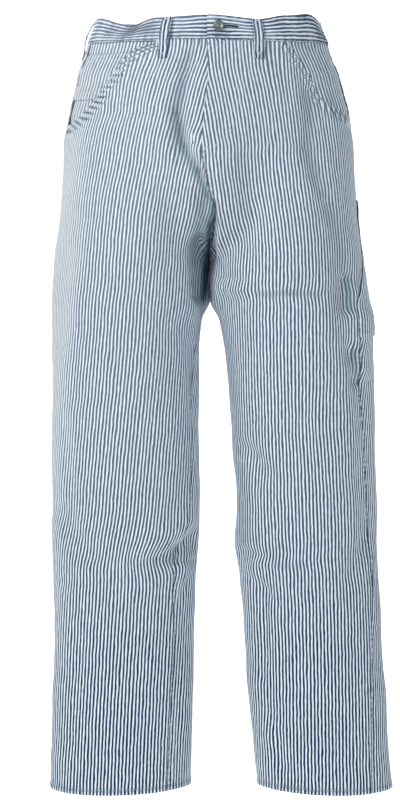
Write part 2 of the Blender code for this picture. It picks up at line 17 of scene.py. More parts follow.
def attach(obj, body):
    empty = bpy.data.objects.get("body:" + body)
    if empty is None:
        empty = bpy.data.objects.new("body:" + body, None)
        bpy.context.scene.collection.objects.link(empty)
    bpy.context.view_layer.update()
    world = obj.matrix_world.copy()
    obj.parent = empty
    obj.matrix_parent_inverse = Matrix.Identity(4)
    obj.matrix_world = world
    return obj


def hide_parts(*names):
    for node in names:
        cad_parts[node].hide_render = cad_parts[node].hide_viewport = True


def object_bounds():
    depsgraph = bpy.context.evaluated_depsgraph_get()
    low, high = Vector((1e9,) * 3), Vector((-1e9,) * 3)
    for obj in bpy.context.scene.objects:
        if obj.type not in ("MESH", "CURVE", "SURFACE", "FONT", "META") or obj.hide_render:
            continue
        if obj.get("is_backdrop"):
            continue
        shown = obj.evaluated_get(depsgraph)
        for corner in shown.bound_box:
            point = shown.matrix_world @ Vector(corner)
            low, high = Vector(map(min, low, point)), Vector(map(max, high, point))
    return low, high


bl_info = {
    "name": "Striped Work Trousers",
    "version": (1, 0, 0),
    "blender": (4, 5, 0),
    "location": "3D View > Sidebar > Trousers",
    "description": "Dresses the trousers' construction in striped twill, stitching and metal",
    "category": "Object",
}

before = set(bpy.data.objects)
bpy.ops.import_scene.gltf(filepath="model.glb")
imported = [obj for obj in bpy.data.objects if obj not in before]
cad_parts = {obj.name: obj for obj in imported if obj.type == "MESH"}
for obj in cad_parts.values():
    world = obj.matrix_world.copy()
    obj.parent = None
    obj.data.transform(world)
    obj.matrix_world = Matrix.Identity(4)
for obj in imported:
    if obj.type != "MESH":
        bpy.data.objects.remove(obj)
CAD_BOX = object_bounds()
bpy.ops.object.select_all(action="DESELECT")

# The construction's own sizes
MM = 0.001
WALL = 1.2 * MM
LAYER_STEP = 1.5 * MM
FACING_WALL = 1.0 * MM
BAND_BOTTOM = -29.5 * MM
BAND_WALL = 2.4 * MM
BAND_PROUD = 0.8 * MM
BAND_LAP_GAP = 1.2 * MM
BAND_UNDERLAP_DEG = 24.0
FLY_BOTTOM = -166.0 * MM
BACK_CURVE_TOP = -95.0 * MM
CROTCH = -313.0 * MM
HEM = -1018.0 * MM
HEM_LIFT_INNER = 10.0 * MM
HEM_LIFT_OUTER = 5.0 * MM
HEM_LIFT_FROM = -880.0 * MM
BACK_CENTRE = 4.0 * MM
HIP_SQUARENESS = 2.15
COIN_TOP, COIN_BOTTOM = -45.0 * MM, -103.0 * MM
RULE_POCKET_TOP, RULE_POCKET_BOTTOM = -232.0 * MM, -409.0 * MM
RULE_POCKET_END = 0.625
BUTTON_X, BUTTON_Z = 14.5 * MM, -13.0 * MM
BUTTON_RADIUS = 7.0 * MM
LOOP_TOP, LOOP_FOOT = 0.5 * MM, -52.0 * MM
LOOP_WIDTH = 12.5 * MM
LOOP_WALL = 1.6 * MM
LEFT, BOTH, RIGHT = 1, 0, -1
WORDS = {LEFT: "left", RIGHT: "right"}

# The smooth form: how much of its slopes a curve through a table keeps, where round the loop the middle
# line passes from the front seam's place to the back's, and how far from the rise its seam bends the cloth
CURVE_BEND = 0.6
CENTRE_DRIFT = (0.3, 0.8)
RISE_REACH = 0.22

# Folds and creases fade out this near the rise, as a share of the loop, and a crease that both fronts
# share is this much narrower on the left one
FOLD_FADE, CREASE_FADE = 0.07, 0.012
SHARP_SHARE = 0.4

# The inner thighs' wave from front to back, and between which heights it grows and dies away
THIGH_WAVE, THIGH_WAVE_LENGTH, THIGH_WAVE_REACH = 3.5 * MM, 90 * MM, 30 * MM
THIGH_WAVE_TOP, THIGH_WAVE_FOOT = (-300 * MM, -325 * MM), (-395 * MM, -372 * MM)

# How much the stripes follow the folds' length, where round the loop the back's grain line lies, and how
# closely the rule pocket's stripes crowd
FOLD_STRETCH = 0.25
BACK_GRAIN_T = 0.74
RULE_POCKET_STRETCH = 0.8

# How far the blue of the small pieces is bleached, what a facing adds to that, and the painted highlight
# that the right side, which faces the key light, adds
PIECE_FADE, BAND_FADE, LOOP_FADE = 0.12, 0.08, 0.05
FACING_FADE, RIGHT_SIDE_HIGHLIGHT, BAND_RIGHT_HIGHLIGHT = 0.04, 0.06, 0.16

# Where the cloth lies on more cloth: how far it is raised, and from where to where it rises
HEM_RAISE, HEM_RISES = 0.5 * MM, (7.5 * MM, 6.0 * MM)
HEM_TURNING, HEM_TURNING_ENDS = 0.7 * MM, (8.5 * MM, 7.0 * MM)
LAP_RAISE, LAP_RISES = 1.5 * MM, (30 * MM, 6 * MM)

# Where the panels and the facings begin and end round the loop
FLY_UNDER_REACH = 0.012
FACING_UNDER_REACH, FACING_END = 0.05, 0.515

# Each piece's unevenness, in millimetres: its size, and its shortest and longest wave
PANEL_RIPPLE = (0.55, 38, 130)
FACING_RIPPLE = (0.25, 14, 50)
RULE_POCKET_RIPPLE = (0.5, 20, 70)
BAND_RIPPLE = (0.5, 30, 90)

# Gathers beside sewing, in millimetres: their depth, how far they reach, and the length of one wave
SEAM_PUCKER = (0.45, 5.5, 8.5)
WAIST_PUCKER = (0.55, 9, 10)
HEM_PUCKER = (0.45, 9, 9)
BAND_FOOT_PUCKER = (0.5, 7, 10)
BAND_TOP_PUCKER = (0.3, 6, 11)
SEAM_SINK, SEAM_SINK_WIDTH = 0.7 * MM, 1.6 * MM
MOUTH_DEPTH, MOUTH_SWAY = 1.0 * MM, 1.2 * MM
MOUTH_WAVE, MOUTH_SLANT = 8.4 * MM, 0.5
MOUTH_MIDDLE, MOUTH_REACH = 4 * MM, 8 * MM
CORNER_HEIGHT, CORNER_SINK = 12 * MM, 1.4 * MM
COIN_SINK = 1.3 * MM
WAIST_RADIUS = 135 * MM

# Rows of stitches: how far each lies inside its edge, and the steps of the lines they follow
SEAM_STITCHES = (2.2 * MM, 8.2 * MM)
RISE_STITCHES = (2.0 * MM, 8.0 * MM)
MOUTH_STITCHES = (2.2 * MM, 8.6 * MM)
FLY_STITCHES = (36 * MM, 42 * MM)
HEM_STITCHES = 7.2 * MM
BAND_STITCHES = (-3.2 * MM, BAND_BOTTOM + 2.6 * MM)
COIN_STITCHES = (2.5 * MM, 8.5 * MM, 49.0 * MM, 55.5 * MM)
LEVEL_STEP = 3 * MM
BUTTONHOLE_X = 27.0 * MM
BUTTONHOLE_SIZE = (13.5 * MM, 2.7 * MM)
PURL_SIZE, PURL_LENGTH = (14.2 * MM, 3.6 * MM), 1.6 * MM
PURL_COUNT = 46

# The stage: paper, camera and the photograph's frame
PAPER_FRONT, PAPER_LENGTH, PAPER_WIDTH = -11.0, 32.0, 30.0
PAPER_DROP = 0.3
PAPER_FLAT_SHARE, PAPER_BEND_SHARE = 0.62, 0.1
CAMERA_X, CAMERA_Z = -0.009, -0.2
CAMERA_PITCH_DEG = 4.961
CAMERA_FOCAL_PX = 2587.0
PHOTO_HEIGHT_PX = 800

Stitch = namedtuple("Stitch", "stitch step thickness")
FINE_STITCH = Stitch(1.9 * MM, 3.0 * MM, 0.35 * MM)
PURL_STITCH = Stitch(1.55 * MM, 0.02 * MM, 0.55 * MM)

# One row for each height of the hips: how far out each side reaches, the depth, the front seam's place,
# and how far round from the front each outseam runs, in degrees
HIP_COLUMNS = ("z", "right", "left", "front", "back", "centre", "right_seam", "left_seam")
HIP_ROWS = (
    (0, -144, 150, -106, 106, 0, 76, 86),
    (-34, -156, 159, -113, 115, 0, 76, 86),
    (-76, -171, 174, -121, 128, 1, 77, 87),
    (-128, -182, 187, -127, 140, -5, 79, 88),
    (-166, -188, 192, -128, 145, -7, 82, 89),
    (-206, -188, 194, -126, 144, 0, 86, 90),
    (-248, -192, 197, -120, 137, 11, 90, 90),
    (-282, -198, 201, -112, 127, 9, 92, 88),
    (-313, -201, 205, -104, 116, 4, 94, 85),
)

# One row for each height of a leg: inner and outer reach, front and back, and where the two seams run
LEG_COLUMNS = ("z", "inner", "outer", "front", "back", "inseam", "outseam")
RIGHT_LEG_ROWS = (
    (-166, -7, -188, -112, 118, 0, 180),
    (-248, 11, -192, -108, 114, 0, 180),
    (-313, 3.8, -201, -101, 106, 0, 182),
    (-345, 3.6, -203, -98, 101, 4, 186),
    (-364, 3.2, -204, -96, 97, 8, 190),
    (-389, -6, -204, -94, 93, 11, 193),
    (-442, -10, -204, -86, 84, 18, 198),
    (-548, -10, -205, -74, 72, 25, 203),
    (-628, -9, -205, -66, 66, 30, 204),
    (-681, -10, -205, -62, 63, 40, 204),
    (-735, -14, -204, -59, 60, 47, 204),
    (-816, -17, -203, -56, 56, 43, 204),
    (-896, -18, -206, -53, 53, 46, 204),
    (-1018, -21, -209, -51, 51, 48, 204),
)
LEFT_LEG_ROWS = (
    (-166, -7, 192, -112, 118, 0, 180),
    (-248, 11, 197, -108, 114, 0, 178),
    (-313, 4.2, 205, -101, 106, 0, 168),
    (-345, 4.6, 210, -98, 101, -3, 155),
    (-364, 5.6, 213, -96, 97, -5, 147),
    (-389, 16, 219, -94, 93, -7, 143),
    (-442, 25, 220, -86, 84, -9, 144),
    (-548, 33, 222, -74, 72, -12, 149),
    (-628, 39, 225, -66, 66, -14, 152),
    (-681, 37, 226, -62, 63, -16, 153),
    (-735, 44, 229, -59, 60, -16, 152),
    (-816, 50, 233, -56, 56, -16, 146),
    (-896, 56, 239, -53, 53, -16, 140),
    (-1018, 67, 247, -51, 51, -16, 133),
)
LEG_ROWS = {LEFT: LEFT_LEG_ROWS, RIGHT: RIGHT_LEG_ROWS}

# Folds, seen from the front or the back: two ends in x and z, half width, and depth inwards
FOLD_COLUMNS = ("x0", "z0", "x1", "z1", "width", "depth")
FOLDS = {
    ("front", RIGHT): (
        (-12, -62, -34, -150, 13, 5.0),
        (-34, -150, -10, -222, 15, 9.0),
        (-62, -120, -70, -230, 22, -3.0),
        (-12, -680, -60, -703, 12, 7.0),
        (-20, -650, -74, -676, 14, -5.0),
        (-30, -722, -92, -728, 14, -3.0),
        (-186, -300, -196, -420, 16, 4.0),
        (-190, -640, -150, -700, 14, 4.0),
    ),
    ("front", LEFT): (
        (24, -172, 22, -240, 16, -5.0),
        (20, -345, 100, -345, 10, -4.0),
        (24, -362, 96, -366, 12, 3.5),
        (134, -92, 146, -198, 14, 4.0),
        (172, -350, 188, -430, 14, 6.0),
        (52, -556, 78, -586, 12, 5.0),
        (48, -700, 104, -694, 12, 5.0),
        (64, -716, 120, -738, 14, -3.0),
        (204, -470, 214, -640, 12, 5.0),
        (216, -660, 190, -720, 13, 5.0),
        (72, -720, 82, -890, 12, 3.0),
        (86, -906, 106, -992, 12, 3.5),
    ),
    ("back", RIGHT): (
        (-22, -300, -120, -322, 16, 7.0),
        (-30, -350, -150, -352, 18, 6.0),
        (-40, -672, -150, -690, 15, 6.0),
        (-60, -712, -160, -704, 15, 5.0),
    ),
    ("back", LEFT): (
        (30, -296, 128, -326, 16, 7.0),
        (40, -346, 152, -362, 18, 6.0),
        (66, -668, 180, -694, 15, 6.0),
        (80, -716, 176, -706, 15, 5.0),
    ),
}

# Small creases that the solids leave out, in the same columns
CREASES = {
    ("front", BOTH): (
        (11, -236, 9, -262, 8, 5.0),
        (9, -266, 5, -300, 10, 9.0),
        (5, -304, 4, -356, 11, 12.0),
    ),
    ("front", RIGHT): (
        (-4, -230, -8, -290, 12, 11.0),
        (-8, -298, -6, -352, 12, 12.0),
        (-24, -54, -38, -118, 9, 5.0),
        (-38, -122, -31, -166, 9, 6.5),
        (-30, -168, -10, -198, 9, 6.5),
        (-9, -200, 5, -230, 8, 6.0),
        (-6, -650, -34, -690, 7, 4.5),
        (-10, -706, -50, -704, 5, 3.5),
        (-18, -420, -12, -520, 10, 4.0),
        (-10, -236, -16, -290, 8, 3.0),
        (-24, -176, -6, -206, 7, 2.5),
        (-88, -60, -120, -128, 7, 0.9),
        (-104, -52, -134, -108, 6, -0.8),
        (-70, -40, -92, -96, 8, 0.8),
        (-14, -690, -48, -712, 5, 2.5),
        (-8, -668, -52, -694, 5, 2.0),
        (-8, -700, -30, -742, 5, 1.8),
        (-70, -700, -120, -724, 6, 1.2),
        (-96, -690, -150, -716, 8, 1.2),
        (-178, -160, -188, -214, 8, 1.4),
        (-186, -520, -176, -640, 9, 1.6),
        (-34, -820, -44, -950, 8, 1.4),
        (-168, -800, -178, -960, 10, 1.2),
    ),
    ("front", LEFT): (
        (157, -238, 178, -330, 11, 4.5),
        (181, -335, 184, -370, 8, 7.0),
        (190, -428, 195, -467, 7, 6.0),
        (132, -96, 128, -160, 10, 3.5),
        (128, -162, 150, -226, 11, 4.0),
        (30, -340, 84, -345, 5, 3.2),
        (66, -352, 150, -351, 5, 3.2),
        (84, -706, 128, -707, 5, 2.6),
        (12, -180, 18, -236, 5, -2.2),
        (14, -262, 58, -298, 7, 1.5),
        (22, -330, 66, -338, 5, 1.8),
        (60, -352, 116, -350, 5, 1.4),
        (60, -560, 66, -600, 5, 1.8),
        (46, -690, 96, -706, 5, 2.0),
        (56, -724, 92, -758, 6, 1.8),
        (196, -560, 206, -690, 7, 2.2),
        (186, -420, 200, -520, 8, 1.8),
        (150, -120, 166, -190, 7, 1.6),
        (118, -70, 138, -128, 7, 0.9),
        (84, -44, 104, -96, 7, 0.9),
        (140, -262, 168, -330, 9, 1.4),
        (76, -740, 74, -860, 5, 1.8),
        (90, -930, 98, -980, 5, 1.6),
        (226, -800, 234, -960, 9, 1.4),
    ),
    ("back", RIGHT): (
        (-14, -268, -90, -296, 8, 2.0),
        (-26, -326, -110, -334, 8, 2.0),
        (-60, -378, -150, -392, 9, 1.6),
        (-30, -660, -110, -672, 7, 1.8),
        (-90, -728, -170, -740, 8, 1.6),
        (-120, -60, -140, -150, 9, 1.2),
        (-70, -820, -60, -960, 10, 1.4),
    ),
    ("back", LEFT): (
        (24, -262, 96, -298, 8, 2.0),
        (38, -322, 118, -340, 8, 2.0),
        (66, -384, 150, -390, 9, 1.6),
        (76, -648, 140, -664, 7, 1.8),
        (104, -732, 186, -728, 8, 1.6),
        (118, -60, 146, -150, 9, 1.2),
        (200, -810, 210, -960, 10, 1.4),
    ),
}

# Where creases drag the stripes of a front aside: middle, half width and half height, and how far
KINK_COLUMNS = ("x", "z", "half_width", "half_height", "shift")
KINKS = {
    RIGHT: (
        (-74, -698, 34, 20, -6.0),
        (-150, -712, 24, 12, -2.2),
        (-190, -732, 12, 8, 2.4),
        (-120, -340, 40, 26, 2.2),
        (-40, -390, 22, 22, -2.4),
    ),
    LEFT: (
        (34, -342, 30, 12, 3.2),
        (120, -352, 44, 10, 1.8),
        (84, -706, 24, 9, 3.2),
        (140, -700, 30, 12, 1.6),
        (150, -520, 30, 40, 3.0),
        (84, -936, 16, 22, 3.0),
    ),
}

# Painted shade in a front's deeper folds and in the hollow between the thighs: two ends in x and z, half
# width and how dark
PAINTED_FOLD_SHADE_COLUMNS = ("x0", "z0", "x1", "z1", "width", "share")
PAINTED_FOLD_SHADE = {
    RIGHT: (
        (-22, -46, -30, -84, 6, 0.35),
        (-30, -84, -38, -122, 6, 0.6),
        (-38, -122, -33, -160, 6, 0.75),
        (-33, -160, -12, -196, 6, 0.65),
        (-12, -196, 4, -232, 6, 0.7),
        (9, -226, 6, -262, 6, 0.9),
        (5, -262, 1, -300, 9, 1.0),
        (1, -300, -2, -358, 13, 1.0),
        (-4, -236, -14, -290, 7, 0.6),
        (-14, -290, -16, -340, 7, 0.6),
        (-16, -340, -8, -372, 6, 0.45),
        (-11, -430, -10, -520, 6, 0.45),
        (-8, -640, -16, -690, 8, 0.45),
        (-14, -700, -48, -704, 5, 0.45),
    ),
    LEFT: (
        (134, -98, 128, -160, 7, 0.4),
        (128, -160, 150, -226, 8, 0.35),
        (157, -238, 178, -330, 8, 0.4),
        (181, -335, 184, -370, 6, 0.7),
        (190, -428, 195, -467, 5, 0.65),
        (66, -352, 140, -351, 3.5, 0.4),
        (84, -706, 128, -707, 3, 0.3),
        (30, -420, 42, -560, 6, 0.3),
        (42, -580, 48, -680, 8, 0.35),
    ),
}

# Pocket mouths, from the waist seam down to the outseam
MOUTH_COLUMNS = ("z", "x")
RIGHT_MOUTH_ROWS = ((-29.5, -64), (-46, -99), (-65, -115), (-96, -138), (-122, -160), (-137, -181))
LEFT_MOUTH_ROWS = ((-29.5, 102), (-56, 120), (-86, 139), (-103, 149), (-114, 168), (-127, 187))
MOUTH_ROWS = {LEFT: LEFT_MOUTH_ROWS, RIGHT: RIGHT_MOUTH_ROWS}

# The line that each front's stripes follow, in the front view, from waist to hem
GRAIN_COLUMNS = ("z", "x")
RIGHT_GRAIN = ((-34, -13), (-95, -25), (-286, -57), (-362, -64), (-628, -87), (-708, -98), (-1018, -115))
LEFT_GRAIN = ((-34, 103), (-56, 104), (-172, 117), (-298, 132), (-378, 133), (-880, 148), (-1018, 150))
GRAIN_ROWS = {LEFT: LEFT_GRAIN, RIGHT: RIGHT_GRAIN}

# The waistband's top edge by the angle round the waist: how far it rises, and how far it leans inwards
BAND_EDGE_COLUMNS = ("angle", "rise", "lean")
BAND_EDGE_ROWS = (
    (-180, 0, 0),
    (-90, 0, 0),
    (-72, 1, 0),
    (-43, -9, 9),
    (-24, -1, 2),
    (0, 2, 0),
    (24, -3, 2),
    (40, 2, 0),
    (58, 5, 0),
    (80, -3, 3),
    (110, 0, 0),
    (180, 0, 0),
)

# How far the blue is painted paler, as a painted sheen that grows towards the waist: all over, and besides
# as a painted highlight along the wearer's right side, which faces the key light
PAINTED_SHEEN_COLUMNS = ("z", "share", "edge")
PAINTED_SHEEN_ROWS = (
    (0, 0.16, 0.04),
    (-60, 0.17, 0.08),
    (-200, 0.15, 0.26),
    (-350, 0.11, 0.28),
    (-520, 0.09, 0.26),
    (-700, 0.06, 0.12),
    (-850, 0.01, 0.04),
    (-1018, 0.0, 0.0),
)

# The belt loops' angles round the waist at their top and foot, and how far they stand off the cloth
LOOP_ROWS = (
    ("belt_loop_front_right", -18.9, -18.9),
    ("belt_loop_front_left", 23.3, 21.9),
    ("belt_loop_side_right", -90.0, -91.0),
    ("belt_loop_side_left", 114.0, 115.0),
    ("belt_loop_back", 179.0, 179.0),
)
PROFILE_COLUMNS = ("z", "out")
PROFILE_ROWS = (
    (0.5, 1.2),
    (-3.5, 1.4),
    (-8, 3.0),
    (-19, 4.2),
    (-31, 3.2),
    (-39, 1.6),
    (-45, 0.35),
    (-52, 0.35),
)


class ClothSettings(bpy.types.PropertyGroup):
    """The striped twill."""

    pitch: bpy.props.FloatProperty(
        name="Stripe pitch", description="One blue and one white stripe", default=4.65 * MM, unit="LENGTH"
    )
    blue_share: bpy.props.FloatProperty(
        name="Blue share", description="How much of the pitch is blue", default=0.55, min=0.1, max=0.9
    )
    twill: bpy.props.FloatProperty(
        name="Twill pitch", description="From one diagonal rib to the next", default=1.1 * MM, unit="LENGTH"
    )


class SewingSettings(bpy.types.PropertyGroup):
    """The sewing thread and its stitches."""

    stitch: bpy.props.FloatProperty(
        name="Stitch length", description="Thread that shows of one stitch", default=2.4 * MM, unit="LENGTH"
    )
    step: bpy.props.FloatProperty(
        name="Stitch step", description="From one stitch to the next", default=3.1 * MM, unit="LENGTH"
    )
    thickness: bpy.props.FloatProperty(
        name="Thread thickness", description="Across the thread", default=0.55 * MM, unit="LENGTH"
    )


class StageSettings(bpy.types.PropertyGroup):
    """The studio round the trousers."""

    key_power: bpy.props.FloatProperty(
        name="Key light", description="Power of the large light on the left", default=73.0, unit="POWER"
    )
    camera_distance: bpy.props.FloatProperty(
        name="Camera distance", description="From the trousers' middle", default=3.4, unit="LENGTH"
    )


def column(rows, columns, name):
    """One named column of a table as an array."""
    return np.array([row[columns.index(name)] for row in rows], float)


def named(rows, columns):
    """A table's rows, each with its values by their columns' names."""
    return [dict(zip(columns, row)) for row in rows]


def smooth_read(rows, columns, name, z):
    """The column's value at height z, on a smooth curve through the table's rows, whose z falls."""
    heights = column(rows, columns, "z")[::-1] * MM
    values = column(rows, columns, name)[::-1]
    slopes = np.gradient(values, heights)
    z = np.clip(z, heights[0], heights[-1])
    low = np.clip(np.searchsorted(heights, z) - 1, 0, len(heights) - 2)
    span = heights[low + 1] - heights[low]
    part = (z - heights[low]) / span
    rise = values[low + 1] - values[low]
    curve = part**2 * (3 - 2 * part) * rise
    bend = part * (1 - part) ** 2 * slopes[low] - part**2 * (1 - part) * slopes[low + 1]
    return values[low] + curve + CURVE_BEND * bend * span


def ease(low, high, value):
    part = np.clip((value - low) / (high - low), 0, 1)
    return part**2 * (3 - 2 * part)


def signed_power(value, power):
    return np.sign(value) * np.abs(value) ** power


def curve_share(z, top):
    """How far the rise seam has run from the front or back towards the crotch, on a quarter ellipse."""
    fall = np.clip((top - z) / (top - CROTCH), 0, 1)
    return 1 - np.sqrt(1 - fall**2)


def outseam_angle(side, z):
    return smooth_read(HIP_ROWS, HIP_COLUMNS, WORDS[side] + "_seam", z)


def hip_point(side, t, z):
    """A half loop of the hips: t is 0 at the front seam, 0.5 at the outseam and 1 at the back seam."""
    outer, front, back, seam = (
        smooth_read(HIP_ROWS, HIP_COLUMNS, name, z) * MM for name in (WORDS[side], "front", "back", "centre")
    )
    centre = seam + (BACK_CENTRE - seam) * ease(*CENTRE_DRIFT, t)
    turn = outseam_angle(side, z)
    angle = np.radians(np.where(t < 0.5, 2 * t * turn, turn + (2 * t - 1) * (180 - turn)))
    across = signed_power(np.sin(angle), 2 / HIP_SQUARENESS)
    along = signed_power(np.cos(angle), 2 / HIP_SQUARENESS)
    return centre + (outer - centre) * across, np.where(along > 0, front, -back) * along


def leg_point(side, t, z):
    """A closed loop of a leg: t is 0 and 1 at the inseam and 0.5 at the outseam, going by the front."""
    inner, outer, front, back, inseam, outseam = (
        smooth_read(LEG_ROWS[side], LEG_COLUMNS, name, z) for name in LEG_COLUMNS[1:]
    )
    by_front = inseam + (outseam - inseam) * 2 * t
    by_back = outseam + (360 + inseam - outseam) * (2 * t - 1)
    angle = np.radians(np.where(t < 0.5, by_front, by_back))
    x = (inner + outer) / 2 - (outer - inner) / 2 * np.cos(angle)
    y = (front + back) / 2 - (back - front) / 2 * np.sin(angle)
    return x * MM, y * MM


def plain_surface(side, t, z):
    """The cloth's smooth form before its folds, as points with the shape of t and z together."""
    t, z = np.broadcast_arrays(np.asarray(t, float), np.asarray(z, float))
    hip_x, hip_y = hip_point(side, t, z)
    leg_x, leg_y = leg_point(side, t, z)
    seam_share = np.where(t < 0.5, curve_share(z, FLY_BOTTOM), curve_share(z, BACK_CURVE_TOP))
    slow_share = ease(BACK_CURVE_TOP, CROTCH, z)
    near_seam = ease(RISE_REACH, 0.0, np.minimum(t, 1 - t))
    share = slow_share + (seam_share - slow_share) * near_seam
    share = np.where(z <= CROTCH, 1.0, share)
    x = (1 - share) * hip_x + share * leg_x
    y = (1 - share) * hip_y + share * leg_y
    inner, outer = (smooth_read(LEG_ROWS[side], LEG_COLUMNS, name, z) * MM for name in ("inner", "outer"))
    inward = np.clip((outer - x) / (outer - inner), 0, 1)
    lift = HEM_LIFT_INNER * inward**1.5 + HEM_LIFT_OUTER * (1 - inward) ** 3
    return np.stack([x, y, z + lift * ease(HEM_LIFT_FROM, HEM, z)], -1)


def closed_surface(side, t, z):
    """The smooth form with t let run a little past the seams, for normals there."""
    over = np.where(t < 0, -t, np.where(t > 1, 2 - t, t))
    inside = plain_surface(side, over, z)
    looped = plain_surface(side, np.mod(t, 1.0), z)
    turned = inside.copy()
    seam = smooth_read(HIP_ROWS, HIP_COLUMNS, "centre", z) * MM
    turned[..., 0] = 2 * np.where(t < 0.5, seam, BACK_CENTRE) - inside[..., 0]
    above = (z > CROTCH) & ((t < 0) | (t > 1))
    return np.where(above[..., None], turned, np.where((z > CROTCH)[..., None], inside, looped))


def smooth_normals(side, t, z):
    """Outward unit normals of the smooth form."""
    step_t, step_z = 0.002, 0.8 * MM
    along_t = closed_surface(side, t + step_t, z) - closed_surface(side, t - step_t, z)
    along_z = closed_surface(side, t, z + step_z) - closed_surface(side, t, z - step_z)
    normal = np.cross(along_t, along_z) * side
    return normal / np.linalg.norm(normal, axis=-1, keepdims=True)


def from_line(points, row):
    """Each point's distance in the front view from the line that a table's row gives."""
    start = np.array([row["x0"], row["z0"]]) * MM
    run = np.array([row["x1"], row["z1"]]) * MM - start
    away = points[..., [0, 2]] - start
    part = np.clip(away @ run / (run @ run), 0, 1)
    return np.linalg.norm(away - part[..., None] * run, axis=-1)


def fold_depth(side, point, normal, t, folds, fade_reach):
    """How far the folds press the cloth inwards at each point."""
    near_rise = ease(0.0, fade_reach, np.minimum(t, 1 - t))
    fade = np.where(point[..., 2] > CROTCH, near_rise, 1.0)
    total = np.zeros(point.shape[:-1])
    for (face, fold_side), rows in folds.items():
        if fold_side not in (side, BOTH):
            continue
        facing = -normal[..., 1] if face == "front" else normal[..., 1]
        weight = ease(0.05, 0.5, facing) * (1.0 if fold_side == BOTH else fade)
        narrowed = SHARP_SHARE if fold_side == BOTH and side == LEFT else 1.0
        for row in named(rows, FOLD_COLUMNS):
            reach = row["width"] * narrowed * MM
            total += row["depth"] * MM * weight * np.exp(-((from_line(point, row) / reach) ** 2))
    return total


def ripple(u, v, seed, shortest, longest, count=9):
    """A smooth uneven field between about -1 and 1, from waves of several lengths and directions."""
    draw = np.random.default_rng(seed)
    total = np.zeros(np.broadcast(u, v).shape)
    for _ in range(count):
        length = draw.uniform(shortest, longest)
        turn = draw.uniform(0, math.pi)
        phase = draw.uniform(0, math.tau)
        total += np.sin(math.tau * (u * math.cos(turn) + v * math.sin(turn)) / length + phase)
    return total / math.sqrt(count)


def uneven(u, v, seed, shape):
    """A piece's own unevenness."""
    size, shortest, longest = (length * MM for length in shape)
    return size * ripple(u, v, seed, shortest, longest)


def surface(side, t, z):
    """The cloth's outer face with its folds and creases, and the smooth form's normals."""
    t, z = np.broadcast_arrays(np.asarray(t, float), np.asarray(z, float))
    point = closed_surface(side, t, z)
    normal = smooth_normals(side, t, z)
    inside = np.clip(t, 0, 1)
    depth = fold_depth(side, point, normal, inside, FOLDS, FOLD_FADE)
    depth = depth + fold_depth(side, point, normal, inside, CREASES, CREASE_FADE)
    point = point - normal * depth[..., None]
    x, y, height = point[..., 0], point[..., 1], point[..., 2]
    between = ease(*THIGH_WAVE_TOP, height) * ease(*THIGH_WAVE_FOOT, height)
    between = between * np.exp(-(((x - BACK_CENTRE) / THIGH_WAVE_REACH) ** 2))
    point[..., 0] += THIGH_WAVE * np.sin(math.tau * y / THIGH_WAVE_LENGTH) * between
    return point, normal


def grid_normals(points, side):
    """Outward normals of a grid whose rows go down and whose columns go round with t."""
    along_t = np.gradient(points, axis=1)
    along_z = -np.gradient(points, axis=0)
    normal = np.cross(along_t, along_z) * side
    return normal / np.maximum(np.linalg.norm(normal, axis=-1, keepdims=True), 1e-12)


def along_rows(points):
    """Length along each row from its first column."""
    steps = np.linalg.norm(np.diff(points, axis=1), axis=-1)
    return np.concatenate([np.zeros((len(points), 1)), np.cumsum(steps, 1)], 1)


def row_read(lengths, values, goals):
    """For each row, the value where the length reaches the goal."""
    return np.array([np.interp(goal, length, value) for length, value, goal in zip(lengths, values, goals)])


def mouth_bottom(side):
    """The height of a pocket mouth's lower corner, at the outseam."""
    return column(MOUTH_ROWS[side], MOUTH_COLUMNS, "z")[-1] * MM


def mouth_t(side, z):
    """The pocket mouth's place round the loop at each height, found by its x in the front view."""
    goal = smooth_read(MOUTH_ROWS[side], MOUTH_COLUMNS, "x", z) * MM
    tries = np.linspace(0.05, 0.5, 181)
    line = plain_surface(side, tries[None, :], z[:, None])[..., 0] * side
    found = np.array([np.interp(x * side, row, tries) for x, row in zip(goal, line)])
    return np.where(z <= mouth_bottom(side) + 1e-6, 0.5, found)


def row_heights():
    """Heights of a panel's rows, closer where a pocket mouth runs level."""
    level_from, level_to = -100 * MM, -140 * MM
    parts = (
        np.linspace(BAND_BOTTOM + 1 * MM, level_from, 24, endpoint=False),
        np.linspace(level_from, level_to, 50, endpoint=False),
        np.linspace(level_to, HEM, 262),
    )
    return np.concatenate(parts)


def grid(t, z):
    """Places round the loop and heights, spread over a whole grid."""
    return np.broadcast_arrays(np.atleast_2d(t), z[:, None])


class Cloth:
    """A grid of cloth points with normals, and the length across the grain and the height of each."""

    def __init__(self, points, normals, u, z):
        self.points, self.normals, self.u, self.z = points, normals, u, z
        self.wear = np.zeros(u.shape)
        self.fade = np.full(u.shape, PIECE_FADE)
        self.deep = np.zeros(u.shape)

    def at(self, u, z, out=0.0):
        """Points and normals on the cloth at given u and z, moved out."""
        heights = self.z[:, 0]
        row = np.interp(-np.asarray(z), -heights, np.arange(len(heights)))
        low = np.clip(row.astype(int), 0, len(heights) - 2)
        share = (row - low)[:, None]
        ids = np.arange(self.u.shape[1])
        found = []
        for field in (self.points, self.normals):
            both = []
            for k in (low, low + 1):
                place = np.array([np.interp(value, self.u[i], ids) for value, i in zip(u, k)])
                j = np.clip(place.astype(int), 0, len(ids) - 2)
                part = (place - j)[:, None]
                both.append(field[k, j] * (1 - part) + field[k, j + 1] * part)
            found.append(both[0] * (1 - share) + both[1] * share)
        return found[0] + found[1] * out, found[1]

    def edge_u(self, z, which):
        """The length across the grain at one end of the rows, at given heights."""
        return np.interp(-np.asarray(z), -self.z[:, 0], self.u[:, which])


